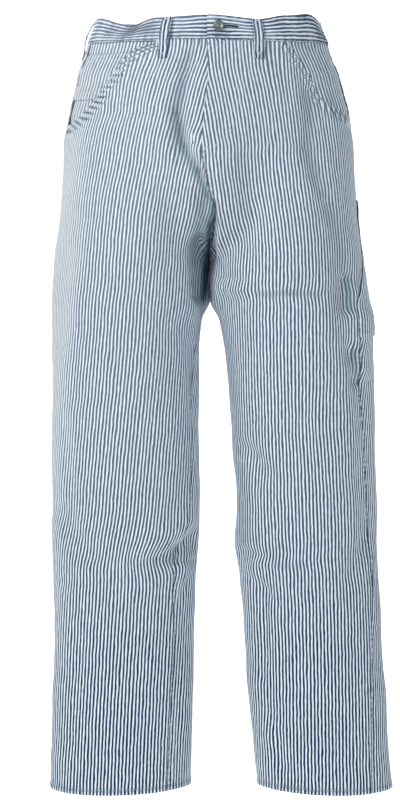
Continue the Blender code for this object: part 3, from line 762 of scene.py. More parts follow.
def pucker(distance, run, seed, shape=SEAM_PUCKER):
    """Small gathers beside a row of stitches: waves along it that die away from it."""
    depth, reach, wave = (size * MM for size in shape)
    drift = ripple(run, 0.0, seed, 40 * MM, 120 * MM, 4) * 2.2
    strength = 0.75 + 0.35 * ripple(run, 0.0, seed + 1, 30 * MM, 90 * MM, 4)
    return depth * strength * np.sin(math.tau * run / wave + drift) * np.exp(-((distance / reach) ** 2))


def panel_cloth(side, front):
    """The grid of a leg panel, with its stripes' lengths and the gathers along its seams."""
    z = row_heights()
    if front:
        start, end = np.zeros(len(z)), mouth_t(side, z)
        if side == RIGHT:
            start = -FLY_UNDER_REACH * ease(FLY_BOTTOM - 4 * MM, FLY_BOTTOM + 6 * MM, z)
    else:
        start, end = np.full(len(z), 0.5), np.ones(len(z))
    t, heights = grid(start[:, None] + (end - start)[:, None] * np.linspace(0, 1, 89), z)
    points, normal = surface(side, t, heights)
    length = along_rows(points)
    plain_length = along_rows(closed_surface(side, t, heights))
    stretch = FOLD_STRETCH * length + (1 - FOLD_STRETCH) * plain_length
    if front:
        goal = smooth_read(GRAIN_ROWS[side], GRAIN_COLUMNS, "x", z) * MM
        outward = np.maximum.accumulate(points[..., 0] * side, axis=1)
        origin = row_read(outward, stretch, goal * side)
    else:
        origin = row_read(t, stretch, np.full(len(z), BACK_GRAIN_T))
    u = stretch - origin[:, None]
    seed = 20 + 10 * side + 3 * front
    gather = uneven(u, heights, seed, PANEL_RIPPLE) * ease(0, 0.05, np.minimum(t, 1 - t))
    sewn = seam_gathers(side, front, length, heights, t)
    if front:
        dents, sway = mouth_gathers(side, points)
        sewn += dents
        u = u + sway + fly_lean(side, points) + kinks(side, points)
    gather = gather + sewn + raised_edges(side, front, length, heights)
    points = points + normal * gather[..., None]
    cloth = Cloth(points, grid_normals(points, side), u, heights)
    # Roping along the sewing: paler on the gathers' crests, darker in their dents, the sunk seams and the
    # hem's stitch line; the dark in the dents is partly painted shade
    hem_stitches = 0.8 * np.exp(-(((heights - HEM - HEM_STITCHES) / (1.8 * MM)) ** 2))
    cloth.wear = np.clip(sewn / (0.8 * MM) - hem_stitches, -1, 1)
    cloth.fade = painted_sheen_share(side, cloth)
    if front:
        # Painted shade in the front's deeper folds and between the thighs
        cloth.deep = painted_fold_shade(side, points)
    return cloth


def kinks(side, points):
    """How far the cloth is dragged across its grain beside the deeper creases."""
    total = np.zeros(points.shape[:-1])
    for row in named(KINKS[side], KINK_COLUMNS):
        across = (points[..., 0] / MM - row["x"]) / row["half_width"]
        down = (points[..., 2] / MM - row["z"]) / row["half_height"]
        total += row["shift"] * MM * np.exp(-(across**2) - down**2)
    return total


def painted_fold_shade(side, points):
    """How dark the cloth is painted inside the deeper folds and the hollow between the thighs, as painted
    shade.
    """
    most = np.zeros(points.shape[:-1])
    for row in named(PAINTED_FOLD_SHADE[side], PAINTED_FOLD_SHADE_COLUMNS):
        inside = np.exp(-((from_line(points, row) / (row["width"] * MM)) ** 2))
        most = np.maximum(most, row["share"] * inside)
    return most


def fly_lean(side, points):
    """How far the stripes beside the fly run in towards the waist."""
    far, close, lean = {RIGHT: (-112, -60, 9.0), LEFT: (104, 62, 7.0)}[side]
    near = ease(far * MM, close * MM, points[..., 0])
    return lean * MM * near * ease(-130 * MM, -30 * MM, points[..., 2])


def mouth_gathers(side, points):
    """The ropy puckers beside a pocket mouth, and how far they sway the stripes."""
    z = np.linspace(BAND_BOTTOM, mouth_bottom(side), 240)
    line = np.stack([smooth_read(MOUTH_ROWS[side], MOUTH_COLUMNS, "x", z) * MM, z], -1)
    run = np.concatenate([[0], np.cumsum(np.linalg.norm(np.diff(line, axis=0), axis=-1))])
    distance, along = np.empty(points.shape[:-1]), np.empty(points.shape[:-1])
    for row, places in enumerate(points[..., [0, 2]]):
        gaps = np.linalg.norm(places[:, None] - line[None], axis=-1)
        distance[row] = gaps.min(1)
        along[row] = run[gaps.argmin(1)]
    turn = math.tau * (along - distance * MOUTH_SLANT * side) / MOUTH_WAVE
    turn = turn + 0.9 * ripple(along, 0.0, 17, 30 * MM, 80 * MM, 4)
    near = np.exp(-(((distance - MOUTH_MIDDLE) / MOUTH_REACH) ** 2))
    return MOUTH_DEPTH * near * np.sin(turn), MOUTH_SWAY * near * np.cos(turn)


def painted_sheen_share(side, cloth):
    """How far the blue is painted paler at each point, as painted sheen and highlight: more towards the
    waist and the right side, which faces the key light.
    """
    share, edge = (smooth_read(PAINTED_SHEEN_ROWS, PAINTED_SHEEN_COLUMNS, name, cloth.z) for name in PAINTED_SHEEN_COLUMNS[1:])
    # Painted highlight on the right side, which faces the key light
    share = share + RIGHT_SIDE_HIGHLIGHT * ease(0.02, -0.1, cloth.points[..., 0]) * ease(HEM, CROTCH, cloth.z)
    if side == RIGHT:
        # Painted highlight where the right leg turns towards the key light
        share = share + edge * ease(0.5, 0.97, -cloth.normals[..., 0])
    return share


def seam_gathers(side, front, length, heights, t):
    """What sewing does to the cloth along the outseam, inseam, rise, waist, hem and pocket mouth."""
    inner, outer = (length, length[:, -1:] - length) if front else (length[:, -1:] - length, length)
    rise = heights > CROTCH
    rise_seed = 61 if front else 62
    out = np.where(rise, pucker(inner, heights, rise_seed), pucker(inner, heights, 70 + side))
    below_mouth = heights < mouth_bottom(side)
    out += pucker(outer, heights, 80 + side) * (below_mouth | (not front))
    out -= SEAM_SINK * np.exp(-((outer / SEAM_SINK_WIDTH) ** 2)) * below_mouth
    beside_fly = rise & front & (heights > FLY_BOTTOM)
    out -= SEAM_SINK * np.exp(-((inner / SEAM_SINK_WIDTH) ** 2)) * ~beside_fly
    out += pucker(BAND_BOTTOM - heights, t * 0.5, 90 + side, WAIST_PUCKER)
    out += pucker(heights - HEM, length, 95 + side, HEM_PUCKER)
    return out


def raised_edges(side, front, length, heights):
    """Where the cloth lies on more cloth: at the turned hem, and at the fly's lap."""
    out = HEM_RAISE * ease(*HEM_RISES, heights - HEM)
    if front and side == LEFT:
        lap = ease(*LAP_RISES, length) * ease(FLY_BOTTOM - 8 * MM, FLY_BOTTOM + 6 * MM, heights)
        out = out + LAP_RAISE * lap
    return out


def shell_mesh(name, cloth, wall, side, material, hem=False):
    """A closed thin wall on a grid, with the UV map that carries the stripes."""
    rows, columns = cloth.u.shape
    inner_depth = np.full(cloth.u.shape, wall)
    if hem:
        inner_depth += HEM_TURNING * ease(*HEM_TURNING_ENDS, cloth.z - HEM)
    inner = cloth.points - cloth.normals * inner_depth[..., None]
    points = np.concatenate([cloth.points.reshape(-1, 3), inner.reshape(-1, 3)])
    ids = np.arange(rows * columns).reshape(rows, columns)
    quads = np.stack([ids[:-1, :-1], ids[1:, :-1], ids[1:, 1:], ids[:-1, 1:]], -1).reshape(-1, 4)
    inner_quads = quads[:, ::-1] + rows * columns
    rim = np.concatenate([ids[0, :-1], ids[:-1, -1], ids[-1, :0:-1], ids[:0:-1, 0]])
    ahead = np.roll(rim, -1)
    rim_quads = np.stack([rim, ahead, ahead + rows * columns, rim + rows * columns], -1)
    faces = np.concatenate([quads, inner_quads, rim_quads])
    if side == RIGHT:
        faces = faces[:, ::-1]
    uv = np.stack([cloth.u, cloth.z], -1).reshape(-1, 2)
    obj = add_mesh(name, points, faces, material, np.concatenate([uv, uv]))
    add_shares(obj, wear=cloth.wear, fade=cloth.fade, deep=cloth.deep)
    return obj


def add_shares(obj, **shares):
    """Stores a value for each point of the grid's outer face, and the same on its inner face."""
    for name, values in shares.items():
        layer = obj.data.attributes.new(name, "FLOAT", "POINT")
        copies = len(obj.data.vertices) // values.size
        layer.data.foreach_set("value", np.tile(values.astype(np.float32).ravel(), copies))


def add_object(name, mesh, material):
    """A smooth object on the part's one body."""
    mesh.shade_smooth()
    mesh.materials.append(material)
    obj = bpy.data.objects.new(name, mesh)
    bpy.context.scene.collection.objects.link(obj)
    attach(obj, "root")
    return obj


def add_mesh(name, points, faces, material, uv=None):
    """An object from arrays of points and quads, with UVs given for each point."""
    mesh = bpy.data.meshes.new(name)
    mesh.vertices.add(len(points))
    mesh.vertices.foreach_set("co", np.ascontiguousarray(points, np.float32).ravel())
    mesh.loops.add(faces.size)
    mesh.loops.foreach_set("vertex_index", np.ascontiguousarray(faces, np.int32).ravel())
    mesh.polygons.add(len(faces))
    mesh.polygons.foreach_set("loop_start", np.arange(0, faces.size, 4, dtype=np.int32))
    mesh.update(calc_edges=True)
    mesh.validate()
    if uv is not None:
        layer = mesh.uv_layers.new(name="grain")
        corners = np.empty(len(mesh.loops), np.int32)
        mesh.loops.foreach_get("vertex_index", corners)
        layer.data.foreach_set("uv", np.ascontiguousarray(uv[corners], np.float32).ravel())
    return add_object(name, mesh, material)


def turn_outwards(obj, fill=False):
    """Points a closed mesh's faces outwards, after filling its open ends if asked."""
    shape = bmesh.new()
    shape.from_mesh(obj.data)
    if fill:
        bmesh.ops.holes_fill(shape, edges=shape.edges, sides=0)
    bmesh.ops.recalc_face_normals(shape, faces=shape.faces)
    shape.to_mesh(obj.data)
    shape.free()


def stand_for(node):
    """Lets a piece take a node's place."""
    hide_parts(node)


def make_cloth(name, node, cloth, wall, side, material, hem=False):
    """Makes a cloth piece in a node's place."""
    obj = shell_mesh(name, cloth, wall, side, material, hem)
    stand_for(node)


def stitch_arrays(points, normals, settings, lift=0.1 * MM):
    """Stitches along a line on cloth: short spindles of thread whose ends dip into it."""
    steps = np.linalg.norm(np.diff(points, axis=0), axis=-1)
    run = np.concatenate([[0], np.cumsum(steps)])
    count = int((run[-1] - settings.stitch) // settings.step)
    starts = (run[-1] - count * settings.step) / 2 + settings.step * np.arange(count)
    rings = np.array([0.0, 0.22, 0.78, 1.0])
    radii = np.array([0.35, 1.0, 1.0, 0.35]) * settings.thickness / 2
    sinks = np.array([-0.6, 0.35, 0.35, -0.6]) * settings.thickness / 2
    places = starts[:, None] + rings[None] * settings.stitch

    def read(values):
        return np.stack([np.interp(places, run, values[:, k]) for k in range(3)], -1)

    centre, normal = read(points), read(normals)
    normal /= np.linalg.norm(normal, axis=-1, keepdims=True)
    tangent = centre[:, -1:] - centre[:, :1]
    tangent = tangent / np.linalg.norm(tangent, axis=-1, keepdims=True)
    across = np.cross(normal, tangent)
    centre = centre + normal * (sinks + lift)[None, :, None]
    turns = np.radians([45, 135, 225, 315])
    ring = (
        np.cos(turns)[None, None, :, None] * across[:, :, None]
        + np.sin(turns)[None, None, :, None] * normal[:, :, None]
    )
    verts = centre[:, :, None] + ring * radii[None, :, None, None]
    faces = []
    for k in range(3):
        for j in range(4):
            a, b = 4 * k + j, 4 * k + (j + 1) % 4
            faces.append((a, b, b + 4, a + 4))
    faces += [(3, 2, 1, 0), (12, 13, 14, 15)]
    faces = np.array(faces)[None] + 16 * np.arange(count)[:, None, None]
    return verts.reshape(-1, 3), faces.reshape(-1, 4)


def sew(name, lines, settings):
    """One piece of sewing from several lines, each a pair of points and normals."""
    all_points, all_faces, total = [], [], 0
    for points, normals in lines:
        verts, faces = stitch_arrays(points, normals, settings)
        all_points.append(verts)
        all_faces.append(faces + total)
        total += len(verts)
    thread = shared_material("spun_sewing_thread")
    obj = add_mesh(name, np.concatenate(all_points), np.concatenate(all_faces), thread)
    turn_outwards(obj)


def offset_line(u, z, distance):
    """A line beside another in the plane of u and z, at a distance to the left of its run."""
    du, dz = np.gradient(u), np.gradient(z)
    size = np.hypot(du, dz)
    return u - dz / size * distance, z + du / size * distance


def linear(hex_colour):
    """An sRGB hex colour as linear values with alpha."""
    parts = [int(hex_colour[i : i + 2], 16) / 255 for i in (0, 2, 4)]
    return (*[c / 12.92 if c <= 0.04045 else ((c + 0.055) / 1.055) ** 2.4 for c in parts], 1.0)


def set_inputs(node, inputs):
    """Sets a node's inputs by name or number, or links those whose value is another node's output."""
    for socket, value in inputs.items():
        if isinstance(value, bpy.types.NodeSocket):
            node.id_data.links.new(value, node.inputs[socket])
        else:
            node.inputs[socket].default_value = value


def add_node(material, kind, inputs=(), output=0, **settings):
    """Adds a node with its settings and its inputs, in order or by name, and gives one of its outputs."""
    node = material.node_tree.nodes.new("ShaderNode" + kind)
    for key, value in settings.items():
        setattr(node, key, value)
    set_inputs(node, inputs if isinstance(inputs, dict) else dict(enumerate(inputs)))
    return node.outputs[output]


def new_material(name):
    material = bpy.data.materials.new(name)
    material.use_nodes = True
    return material, material.node_tree.nodes["Principled BSDF"]


def striped_twill(name, settings, blue):
    """Cotton twill woven with indigo and white warp stripes, washed: matt, with soft stripe edges, slubs
    in the yarn, diagonal ribs and a slight bloom of loose fibre. Its attributes add a painted sheen and
    highlight to the bleaching, roping with painted shade in its dents, and painted shade in the folds."""
    material, shader = new_material(name)
    uv = add_node(material, "UVMap", uv_map="grain")
    across = add_node(material, "SeparateXYZ", (uv,))
    along = across.node.outputs[1]
    worn_and_shaded = add_node(material, "Attribute", output="Fac", attribute_name="wear")
    bleach_and_sheen = add_node(material, "Attribute", output="Fac", attribute_name="fade")
    deep = add_node(material, "Attribute", output="Fac", attribute_name="deep")

    # The yarn's unevenness: the size of its patches across and along in millimetres, detail and roughness
    fields = []
    for width, length, detail, roughness in (
        (11, 26, 1.0, 0.5),
        (1.4, 9, 2.0, 0.5),
        (0.5, 3.5, 2.0, 0.6),
        (70, 110, 3.0, 0.55),
    ):
        scale = (1 / (width * MM), 1 / (length * MM), 1)
        place = add_node(material, "Mapping", {"Vector": uv, "Scale": scale})
        inputs = {"Vector": place, "Scale": 1.0, "Detail": detail, "Roughness": roughness}
        fields.append(add_node(material, "TexNoise", inputs))
    wander, slub, yarn, cloud = fields

    # The stripes, which wander a little across the grain
    place = add_node(material, "Math", (across, 1 / settings.pitch), operation="MULTIPLY")
    for field, reach in ((wander, 0.16), (slub, 0.07)):
        shift = add_node(material, "MapRange", (field, 0.2, 0.8, -reach, reach))
        place = add_node(material, "Math", (place, shift), operation="ADD")
    part = add_node(material, "Math", (place,), operation="FRACT")
    part = add_node(material, "Math", (part, 0.5), operation="SUBTRACT")
    off_middle = add_node(material, "Math", (part,), operation="ABSOLUTE")
    low, high = (settings.blue_share - 0.07) / 2, (settings.blue_share + 0.07) / 2
    white = add_node(material, "MapRange", (off_middle, low, high), interpolation_type="SMOOTHSTEP")

    # The twill's diagonal ribs
    diagonal = add_node(material, "Math", (across, along), operation="ADD")
    turn = add_node(material, "Math", (diagonal, math.tau / settings.twill), operation="MULTIPLY")
    wave = add_node(material, "Math", (turn,), operation="SINE")
    rib = add_node(material, "MapRange", (wave, -1.0, 1.0), interpolation_type="SMOOTHSTEP")

    # Coats of colour: what places each, from and to which value, how strong, and its colour
    coats = {
        "blue": (linear(blue), (yarn, 0.35, 0.8, 1.0, "2e3f5b"), (cloud, 0.35, 0.7, 0.15, "46597a")),
        "white": (linear("d5e1ee"), (yarn, 0.25, 0.7, 1.0, "e2ecf7"), (rib, 0.0, 1.0, 0.08, "b9c8dc")),
    }
    tones = {}
    for yarn_name, (tone, *rows) in coats.items():
        for field, low, high, strength, shade in rows:
            kind = "LINEAR" if field == rib else "SMOOTHSTEP"
            inputs = (field, low, high, 0.0, strength)
            factor = add_node(material, "MapRange", inputs, interpolation_type=kind)
            tone = add_node(material, "Mix", {0: factor, 6: tone, 7: linear(shade)}, 2, data_type="RGBA")
        tones[yarn_name] = tone
    # The fade attribute lifts the blue towards white: the pieces' bleaching, and besides a painted sheen and
    # highlight
    bleach_and_sheen_mix = {0: bleach_and_sheen, 6: tones["blue"], 7: tones["white"]}
    blue_tone = add_node(material, "Mix", bleach_and_sheen_mix, 2, data_type="RGBA")
    # Greys the white where the painted highlight is strongest
    inputs = (bleach_and_sheen, 0.2, 0.45, 0.0, 0.6)
    greyed = add_node(material, "MapRange", inputs, interpolation_type="SMOOTHSTEP")
    inputs = {0: greyed, 6: tones["white"], 7: linear("dcdfdc")}
    white_tone = add_node(material, "Mix", inputs, 2, data_type="RGBA")
    colour = add_node(material, "Mix", {0: white, 6: blue_tone, 7: white_tone}, 2, data_type="RGBA")
    # Painted shade in the deeper folds (teal, then dark navy), pale roping on the gathers' crests, and dark
    # roping in their dents that also carries painted shade there, in the buttonhole and under the loops'
    # tacks
    for field, low, high, strength, shade in (
        (deep, 0.0, 0.8, 0.74, "6c8793"),
        (deep, 0.66, 0.96, 0.85, "1d3547"),
        (worn_and_shaded, 0.1, 1.0, 0.35, "dce6f0"),
        (worn_and_shaded, -0.1, -1.0, 0.7, "2c3c58"),
    ):
        factor = add_node(material, "MapRange", (field, low, high, 0.0, strength))
        colour = add_node(material, "Mix", {0: factor, 6: colour, 7: linear(shade)}, 2, data_type="RGBA")

    height = add_node(material, "Math", (rib, 0.5), operation="MULTIPLY")
    for field, share in ((yarn, 0.6), (white, 0.25)):
        height = add_node(material, "Math", (field, share, height), operation="MULTIPLY_ADD")
    bump = add_node(material, "Bump", {"Height": height, "Strength": 0.45, "Distance": 0.25 * MM})
    rough = add_node(material, "MapRange", (yarn, 0.2, 0.8, 0.78, 0.92), interpolation_type="SMOOTHSTEP")
    set_inputs(shader, {"Base Color": colour, "Normal": bump, "Roughness": rough})
    set_inputs(shader, {"Sheen Weight": 0.04, "Sheen Roughness": 0.45, "Specular IOR Level": 0.15})
    return material


def sewing_thread(name):
    """Spun polyester-cotton thread: a soft lustre and a twist too fine to model."""
    material, shader = new_material(name)
    place = add_node(material, "TexCoord", output="Object")
    fuzz = add_node(material, "TexNoise", {"Vector": place, "Scale": 900.0, "Detail": 2.0})
    inputs = {0: fuzz, 6: linear("b9c2cf"), 7: linear("eef1f5")}
    colour = add_node(material, "Mix", inputs, 2, data_type="RGBA")
    bump = add_node(material, "Bump", {"Height": fuzz, "Strength": 0.3, "Distance": 0.1 * MM})
    set_inputs(shader, {"Base Color": colour, "Normal": bump, "Roughness": 0.7, "Sheen Weight": 0.2})
    return material


def plated_button_metal():
    """Stamped steel with a dull nickel plate: grey, softly bright, with darker tarnish in random patches."""
    material, shader = new_material("nickel_plated_steel")
    place = add_node(material, "TexCoord", output="Object")
    inputs = {"Vector": place, "Scale": 420.0, "Detail": 4.0, "Roughness": 0.6}
    grime = add_node(material, "TexNoise", inputs)
    inputs = {0: grime, 6: linear("3d4745"), 7: linear("a3ada8")}
    colour = add_node(material, "Mix", inputs, 2, data_type="RGBA")
    rough = add_node(material, "MapRange", (grime, 0.3, 0.7, 0.6, 0.38))
    bump = add_node(material, "Bump", {"Height": grime, "Strength": 0.25, "Distance": 0.1 * MM})
    set_inputs(shader, {"Base Color": colour, "Normal": bump, "Roughness": rough, "Metallic": 1.0})
    return material


def shared_material(name):
    """The materials that several operators use, made once."""
    found = bpy.data.materials.get(name)
    if found:
        return found
    if name == "spun_sewing_thread":
        return sewing_thread(name)
    return striped_twill(name, bpy.context.scene.trousers_cloth, TWILL_BLUES[name])


TWILL_BLUES = {
    "washed_striped_twill": "172941",
    "facing_striped_twill": "172941",
    "waistband_striped_twill": "182850",
    "belt_loop_striped_twill": "1f3054",
}


def level_line(cloth, first, last, z):
    """A level line on a cloth, between two lengths across its grain."""
    across = np.arange(first, last, LEVEL_STEP)
    return cloth.at(across, np.full(len(across), z))


def leg_lines(cloth, side, front):
    """The lines of stitches on a panel: beside its seams and above its hem."""
    seam_end, inwards = (0, 1) if front else (-1, -1)
    below = np.arange(CROTCH - 6 * MM, HEM + 10 * MM, -4 * MM)
    top = FLY_BOTTOM if front else BAND_BOTTOM
    rise = np.arange(top - 2 * MM, CROTCH + 4 * MM, -3 * MM)
    rows = [(below, distance) for distance in (SEAM_STITCHES[:1] if front else SEAM_STITCHES)]
    if side == LEFT:
        rows += [(rise, distance) for distance in RISE_STITCHES]
    lines = [cloth.at(cloth.edge_u(z, seam_end) + inwards * distance, z) for z, distance in rows]
    hem_z = HEM + HEM_STITCHES
    first, last = cloth.edge_u(hem_z, 0), cloth.edge_u(hem_z, -1)
    lines.append(level_line(cloth, first + 1 * MM, last - 1 * MM, hem_z))
    return lines


def mouth_lines(cloth, side):
    """The double row beside a pocket mouth."""
    z = np.linspace(BAND_BOTTOM - 1 * MM, mouth_bottom(side) + 1.2 * MM, 120)
    u = cloth.edge_u(z, -1)
    lines = []
    for distance in MOUTH_STITCHES:
        line_u, line_z = offset_line(u, z, -distance)
        keep = (line_u < cloth.edge_u(line_z, -1) - 1 * MM) & (line_z < BAND_BOTTOM)
        lines.append(cloth.at(line_u[keep], line_z[keep]))
    return lines


def fly_lines(cloth):
    """The curved double row that holds the fly's facing on the wearer's left front."""
    angle = np.linspace(0, 1, 60)[1:-2] * math.pi / 2
    lines = []
    for distance in FLY_STITCHES:
        z_straight = np.linspace(BAND_BOTTOM - 1 * MM, FLY_BOTTOM + distance, 40)
        u_straight = cloth.edge_u(z_straight, 0) + distance
        z_round = FLY_BOTTOM + distance - distance * np.sin(angle)
        u_round = cloth.edge_u(z_round, 0) + distance * np.cos(angle)
        lines.append(cloth.at(np.append(u_straight, u_round), np.append(z_straight, z_round)))
    return lines


def tack_lines(cloth, u, z, width, height, rows=5):
    """A bar tack: a few short rows of thread side by side."""
    lines = []
    for k in range(rows):
        down = z - height * (k / (rows - 1) - 0.5)
        across = np.linspace(u - width / 2, u + width / 2, 5)
        lines.append(cloth.at(across, np.full(5, down), 0.15 * MM))
    return lines


class TROUSERS_OT_legs(bpy.types.Operator):
    """Make the four leg panels and the stitches along their seams and hems"""

    bl_idname = "trousers.legs"
    bl_label = "Leg Panels"

    def execute(self, context):
        settings = context.scene.trousers_sewing
        twill = shared_material("washed_striped_twill")
        for side in (RIGHT, LEFT):
            for front in (True, False):
                name = ("front_" if front else "back_") + WORDS[side]
                cloth = panel_cloth(side, front)
                make_cloth(name + "_panel", name, cloth, WALL, side, twill, hem=True)
                lines = leg_lines(cloth, side, front)
                if front:
                    sew(name + "_mouth_stitches", mouth_lines(cloth, side), FINE_STITCH)
                if front and side == LEFT:
                    tack_u = cloth.edge_u(FLY_BOTTOM, 0) + 5 * MM
                    lines += fly_lines(cloth)
                    lines += tack_lines(cloth, tack_u, FLY_BOTTOM, 8 * MM, 3 * MM)
                sew(name + "_stitches", lines, settings)
        return {"FINISHED"}


def facing_cloth(side, z_top, z_bottom, under, coin_sink=0.0, corner_sink=0.0):
    """A grid behind a pocket mouth, from under the panel to the outseam. It is set in further where the
    coin pocket lies on it, and towards the mouth's lower corner."""
    z = np.linspace(z_top, z_bottom, 56)
    start = mouth_t(side, z)[:, None] - FACING_UNDER_REACH
    t, heights = grid(start + (FACING_END - start) * np.linspace(0, 1, 50), z)
    points, normal = surface(side, t, heights)
    length = along_rows(points)
    ahead = np.abs(points[..., 0] - points[:, -1:, 0])
    u = FOLD_STRETCH * (length - length[:, -1:]) - (1 - FOLD_STRETCH) * ahead
    corner = mouth_bottom(side)
    depth = uneven(u, heights, 40 + side, FACING_RIPPLE) - LAYER_STEP - under
    depth -= coin_sink * ease(COIN_TOP + 4 * MM, COIN_TOP, heights)
    depth -= corner_sink * ease(corner + CORNER_HEIGHT, corner, heights)
    points = points + normal * depth[..., None]
    cloth = Cloth(points, grid_normals(points, side), u, heights)
    cloth.fade = painted_sheen_share(side, cloth) + FACING_FADE
    return cloth


class TROUSERS_OT_pockets(bpy.types.Operator):
    """Make the pocket facings, the coin pocket and the rule pocket"""

    bl_idname = "trousers.pockets"
    bl_label = "Pockets"

    def execute(self, context):
        settings = context.scene.trousers_sewing
        twill = shared_material("facing_striped_twill")
        for side, coin_sink in ((RIGHT, COIN_SINK), (LEFT, 0.0)):
            ends = (BAND_BOTTOM + 1 * MM, mouth_bottom(side))
            cloth = facing_cloth(side, *ends, 0.2 * MM, coin_sink, CORNER_SINK)
            name = "pocket_facing_" + WORDS[side]
            make_cloth(name + "_cloth", name, cloth, FACING_WALL, side, twill)
        coin = facing_cloth(RIGHT, COIN_TOP, COIN_BOTTOM, 0.15 * MM)
        make_cloth("coin_pocket_cloth", "coin_pocket", coin, FACING_WALL, RIGHT, twill)
        lines = []
        for down in COIN_STITCHES:
            z = COIN_TOP - down
            first, last = coin.edge_u(z, 0) + 12 * MM, coin.edge_u(z, -1) - 1 * MM
            lines.append(level_line(coin, first, last, z))
        sew("coin_pocket_stitches", lines, settings)
        self.make_rule_pocket(settings)
        return {"FINISHED"}

    def make_rule_pocket(self, settings):
        """The narrow pocket on the left leg, sewn down along its back edge, its ends and its top."""
        z = np.linspace(RULE_POCKET_TOP, RULE_POCKET_BOTTOM, 90)
        t, heights = grid(np.linspace(0.5, RULE_POCKET_END, 36), z)
        points, normal = surface(LEFT, t, heights)
        length = along_rows(points)
        out = LAYER_STEP + 0.2 * MM + uneven(length, heights, 51, RULE_POCKET_RIPPLE)
        out += pucker(length[:, -1:] - length, heights, 52) * 0.6
        points = points + normal * out[..., None]
        cloth = Cloth(points, grid_normals(points, LEFT), length * RULE_POCKET_STRETCH, heights)
        twill = shared_material("washed_striped_twill")
        make_cloth("rule_pocket_cloth", "rule_pocket", cloth, WALL, LEFT, twill)
        lines = [cloth.at(cloth.edge_u(z[3:-3], -1) - distance, z[3:-3]) for distance in SEAM_STITCHES]
        foot = RULE_POCKET_BOTTOM + 3 * MM
        for down in (RULE_POCKET_TOP - 3 * MM, RULE_POCKET_TOP - 12 * MM, foot):
            lines.append(level_line(cloth, 1 * MM, cloth.edge_u(down, -1) - 2 * MM, down))
        lines += tack_lines(cloth, cloth.u[-1, -1] - 4 * MM, foot, 7 * MM, 3 * MM)
        sew("rule_pocket_stitches", lines, settings)


class TROUSERS_OT_fly(bpy.types.Operator):
    """Make the strip behind the closed fly"""

    bl_idname = "trousers.fly"
    bl_label = "Fly Underlap"

    def execute(self, context):
        z = np.linspace(BAND_BOTTOM + 1 * MM, FLY_BOTTOM + 6 * MM, 60)
        t, heights = grid(np.linspace(-0.018, 0.062, 24), z)
        points, normal = surface(LEFT, t, heights)
        points = points - normal * (LAYER_STEP + 0.2 * MM)
        cloth = Cloth(points, grid_normals(points, LEFT), along_rows(points), heights)
        twill = shared_material("washed_striped_twill")
        make_cloth("fly_underlap_cloth", "fly_underlap", cloth, WALL, LEFT, twill)
        return {"FINISHED"}


def band_edge(name, angle):
    """A column of the table on the waistband's top edge, with eased steps between its rows."""
    turns, values = (column(BAND_EDGE_ROWS, BAND_EDGE_COLUMNS, key) for key in ("angle", name))
    low = np.clip(np.searchsorted(turns, angle) - 1, 0, len(turns) - 2)
    return values[low] + (values[low + 1] - values[low]) * ease(turns[low], turns[low + 1], angle)


def band_point(angle_deg, z, out):
    """Points of the waistband by the angle round the waist, with the lean and rise of its top edge."""
    angle = np.mod(angle_deg + 180, 360) - 180
    result = np.zeros((*np.broadcast(angle, z).shape, 3))
    normals = np.zeros_like(result)
    angle, z, out = np.broadcast_arrays(angle, z, out)
    for side in (LEFT, RIGHT):
        here = angle >= 0 if side == LEFT else angle < 0
        seam = outseam_angle(side, z[here])
        before = 0.5 * np.abs(angle[here]) / seam
        t = np.where(before < 0.5, before, 0.5 + 0.5 * (np.abs(angle[here]) - seam) / (180 - seam))
        result[here] = plain_surface(side, t, z[here])
        normals[here] = smooth_normals(side, t, z[here])
    share = np.clip(1 - z / BAND_BOTTOM, 0, 1)
    lean = band_edge("lean", angle) * MM * share**1.5
    result += normals * (out - lean)[..., None]
    result[..., 2] += band_edge("rise", angle) * MM * share
    return result, normals


def band_tuck(angle):
    """How far the waistband's right end lies behind its left one."""
    return (BAND_WALL + BAND_LAP_GAP) * ease(328.0, 358.0, angle)


def band_gather(around, z):
    """What sewing does to the waistband beside its seam and its top edge."""
    out = pucker(z - BAND_BOTTOM, around, 31, BAND_FOOT_PUCKER) + pucker(z, around, 32, BAND_TOP_PUCKER)
    return out + uneven(around, z, 33, BAND_RIPPLE)


def band_section():
    """The doubled strip's section, up its front, over and down its back: the height, how far the fold
    lifts it, and the depth of each point."""
    share = np.linspace(0, 1, 16)
    bend = np.radians(np.linspace(0, 180, 7)[1:-1])
    level, half = np.zeros(len(share)), BAND_WALL / 2
    top, foot = np.zeros(len(bend)), np.full(len(bend), BAND_BOTTOM)
    z = np.concatenate([BAND_BOTTOM * share[::-1], top, BAND_BOTTOM * share, foot])
    rise = np.concatenate([level, half * np.sin(bend), level, -half * np.sin(bend)])
    over, under = half - half * np.cos(bend), half + half * np.cos(bend)
    depth = np.concatenate([level, over, level + BAND_WALL, under])
    return z, rise, depth


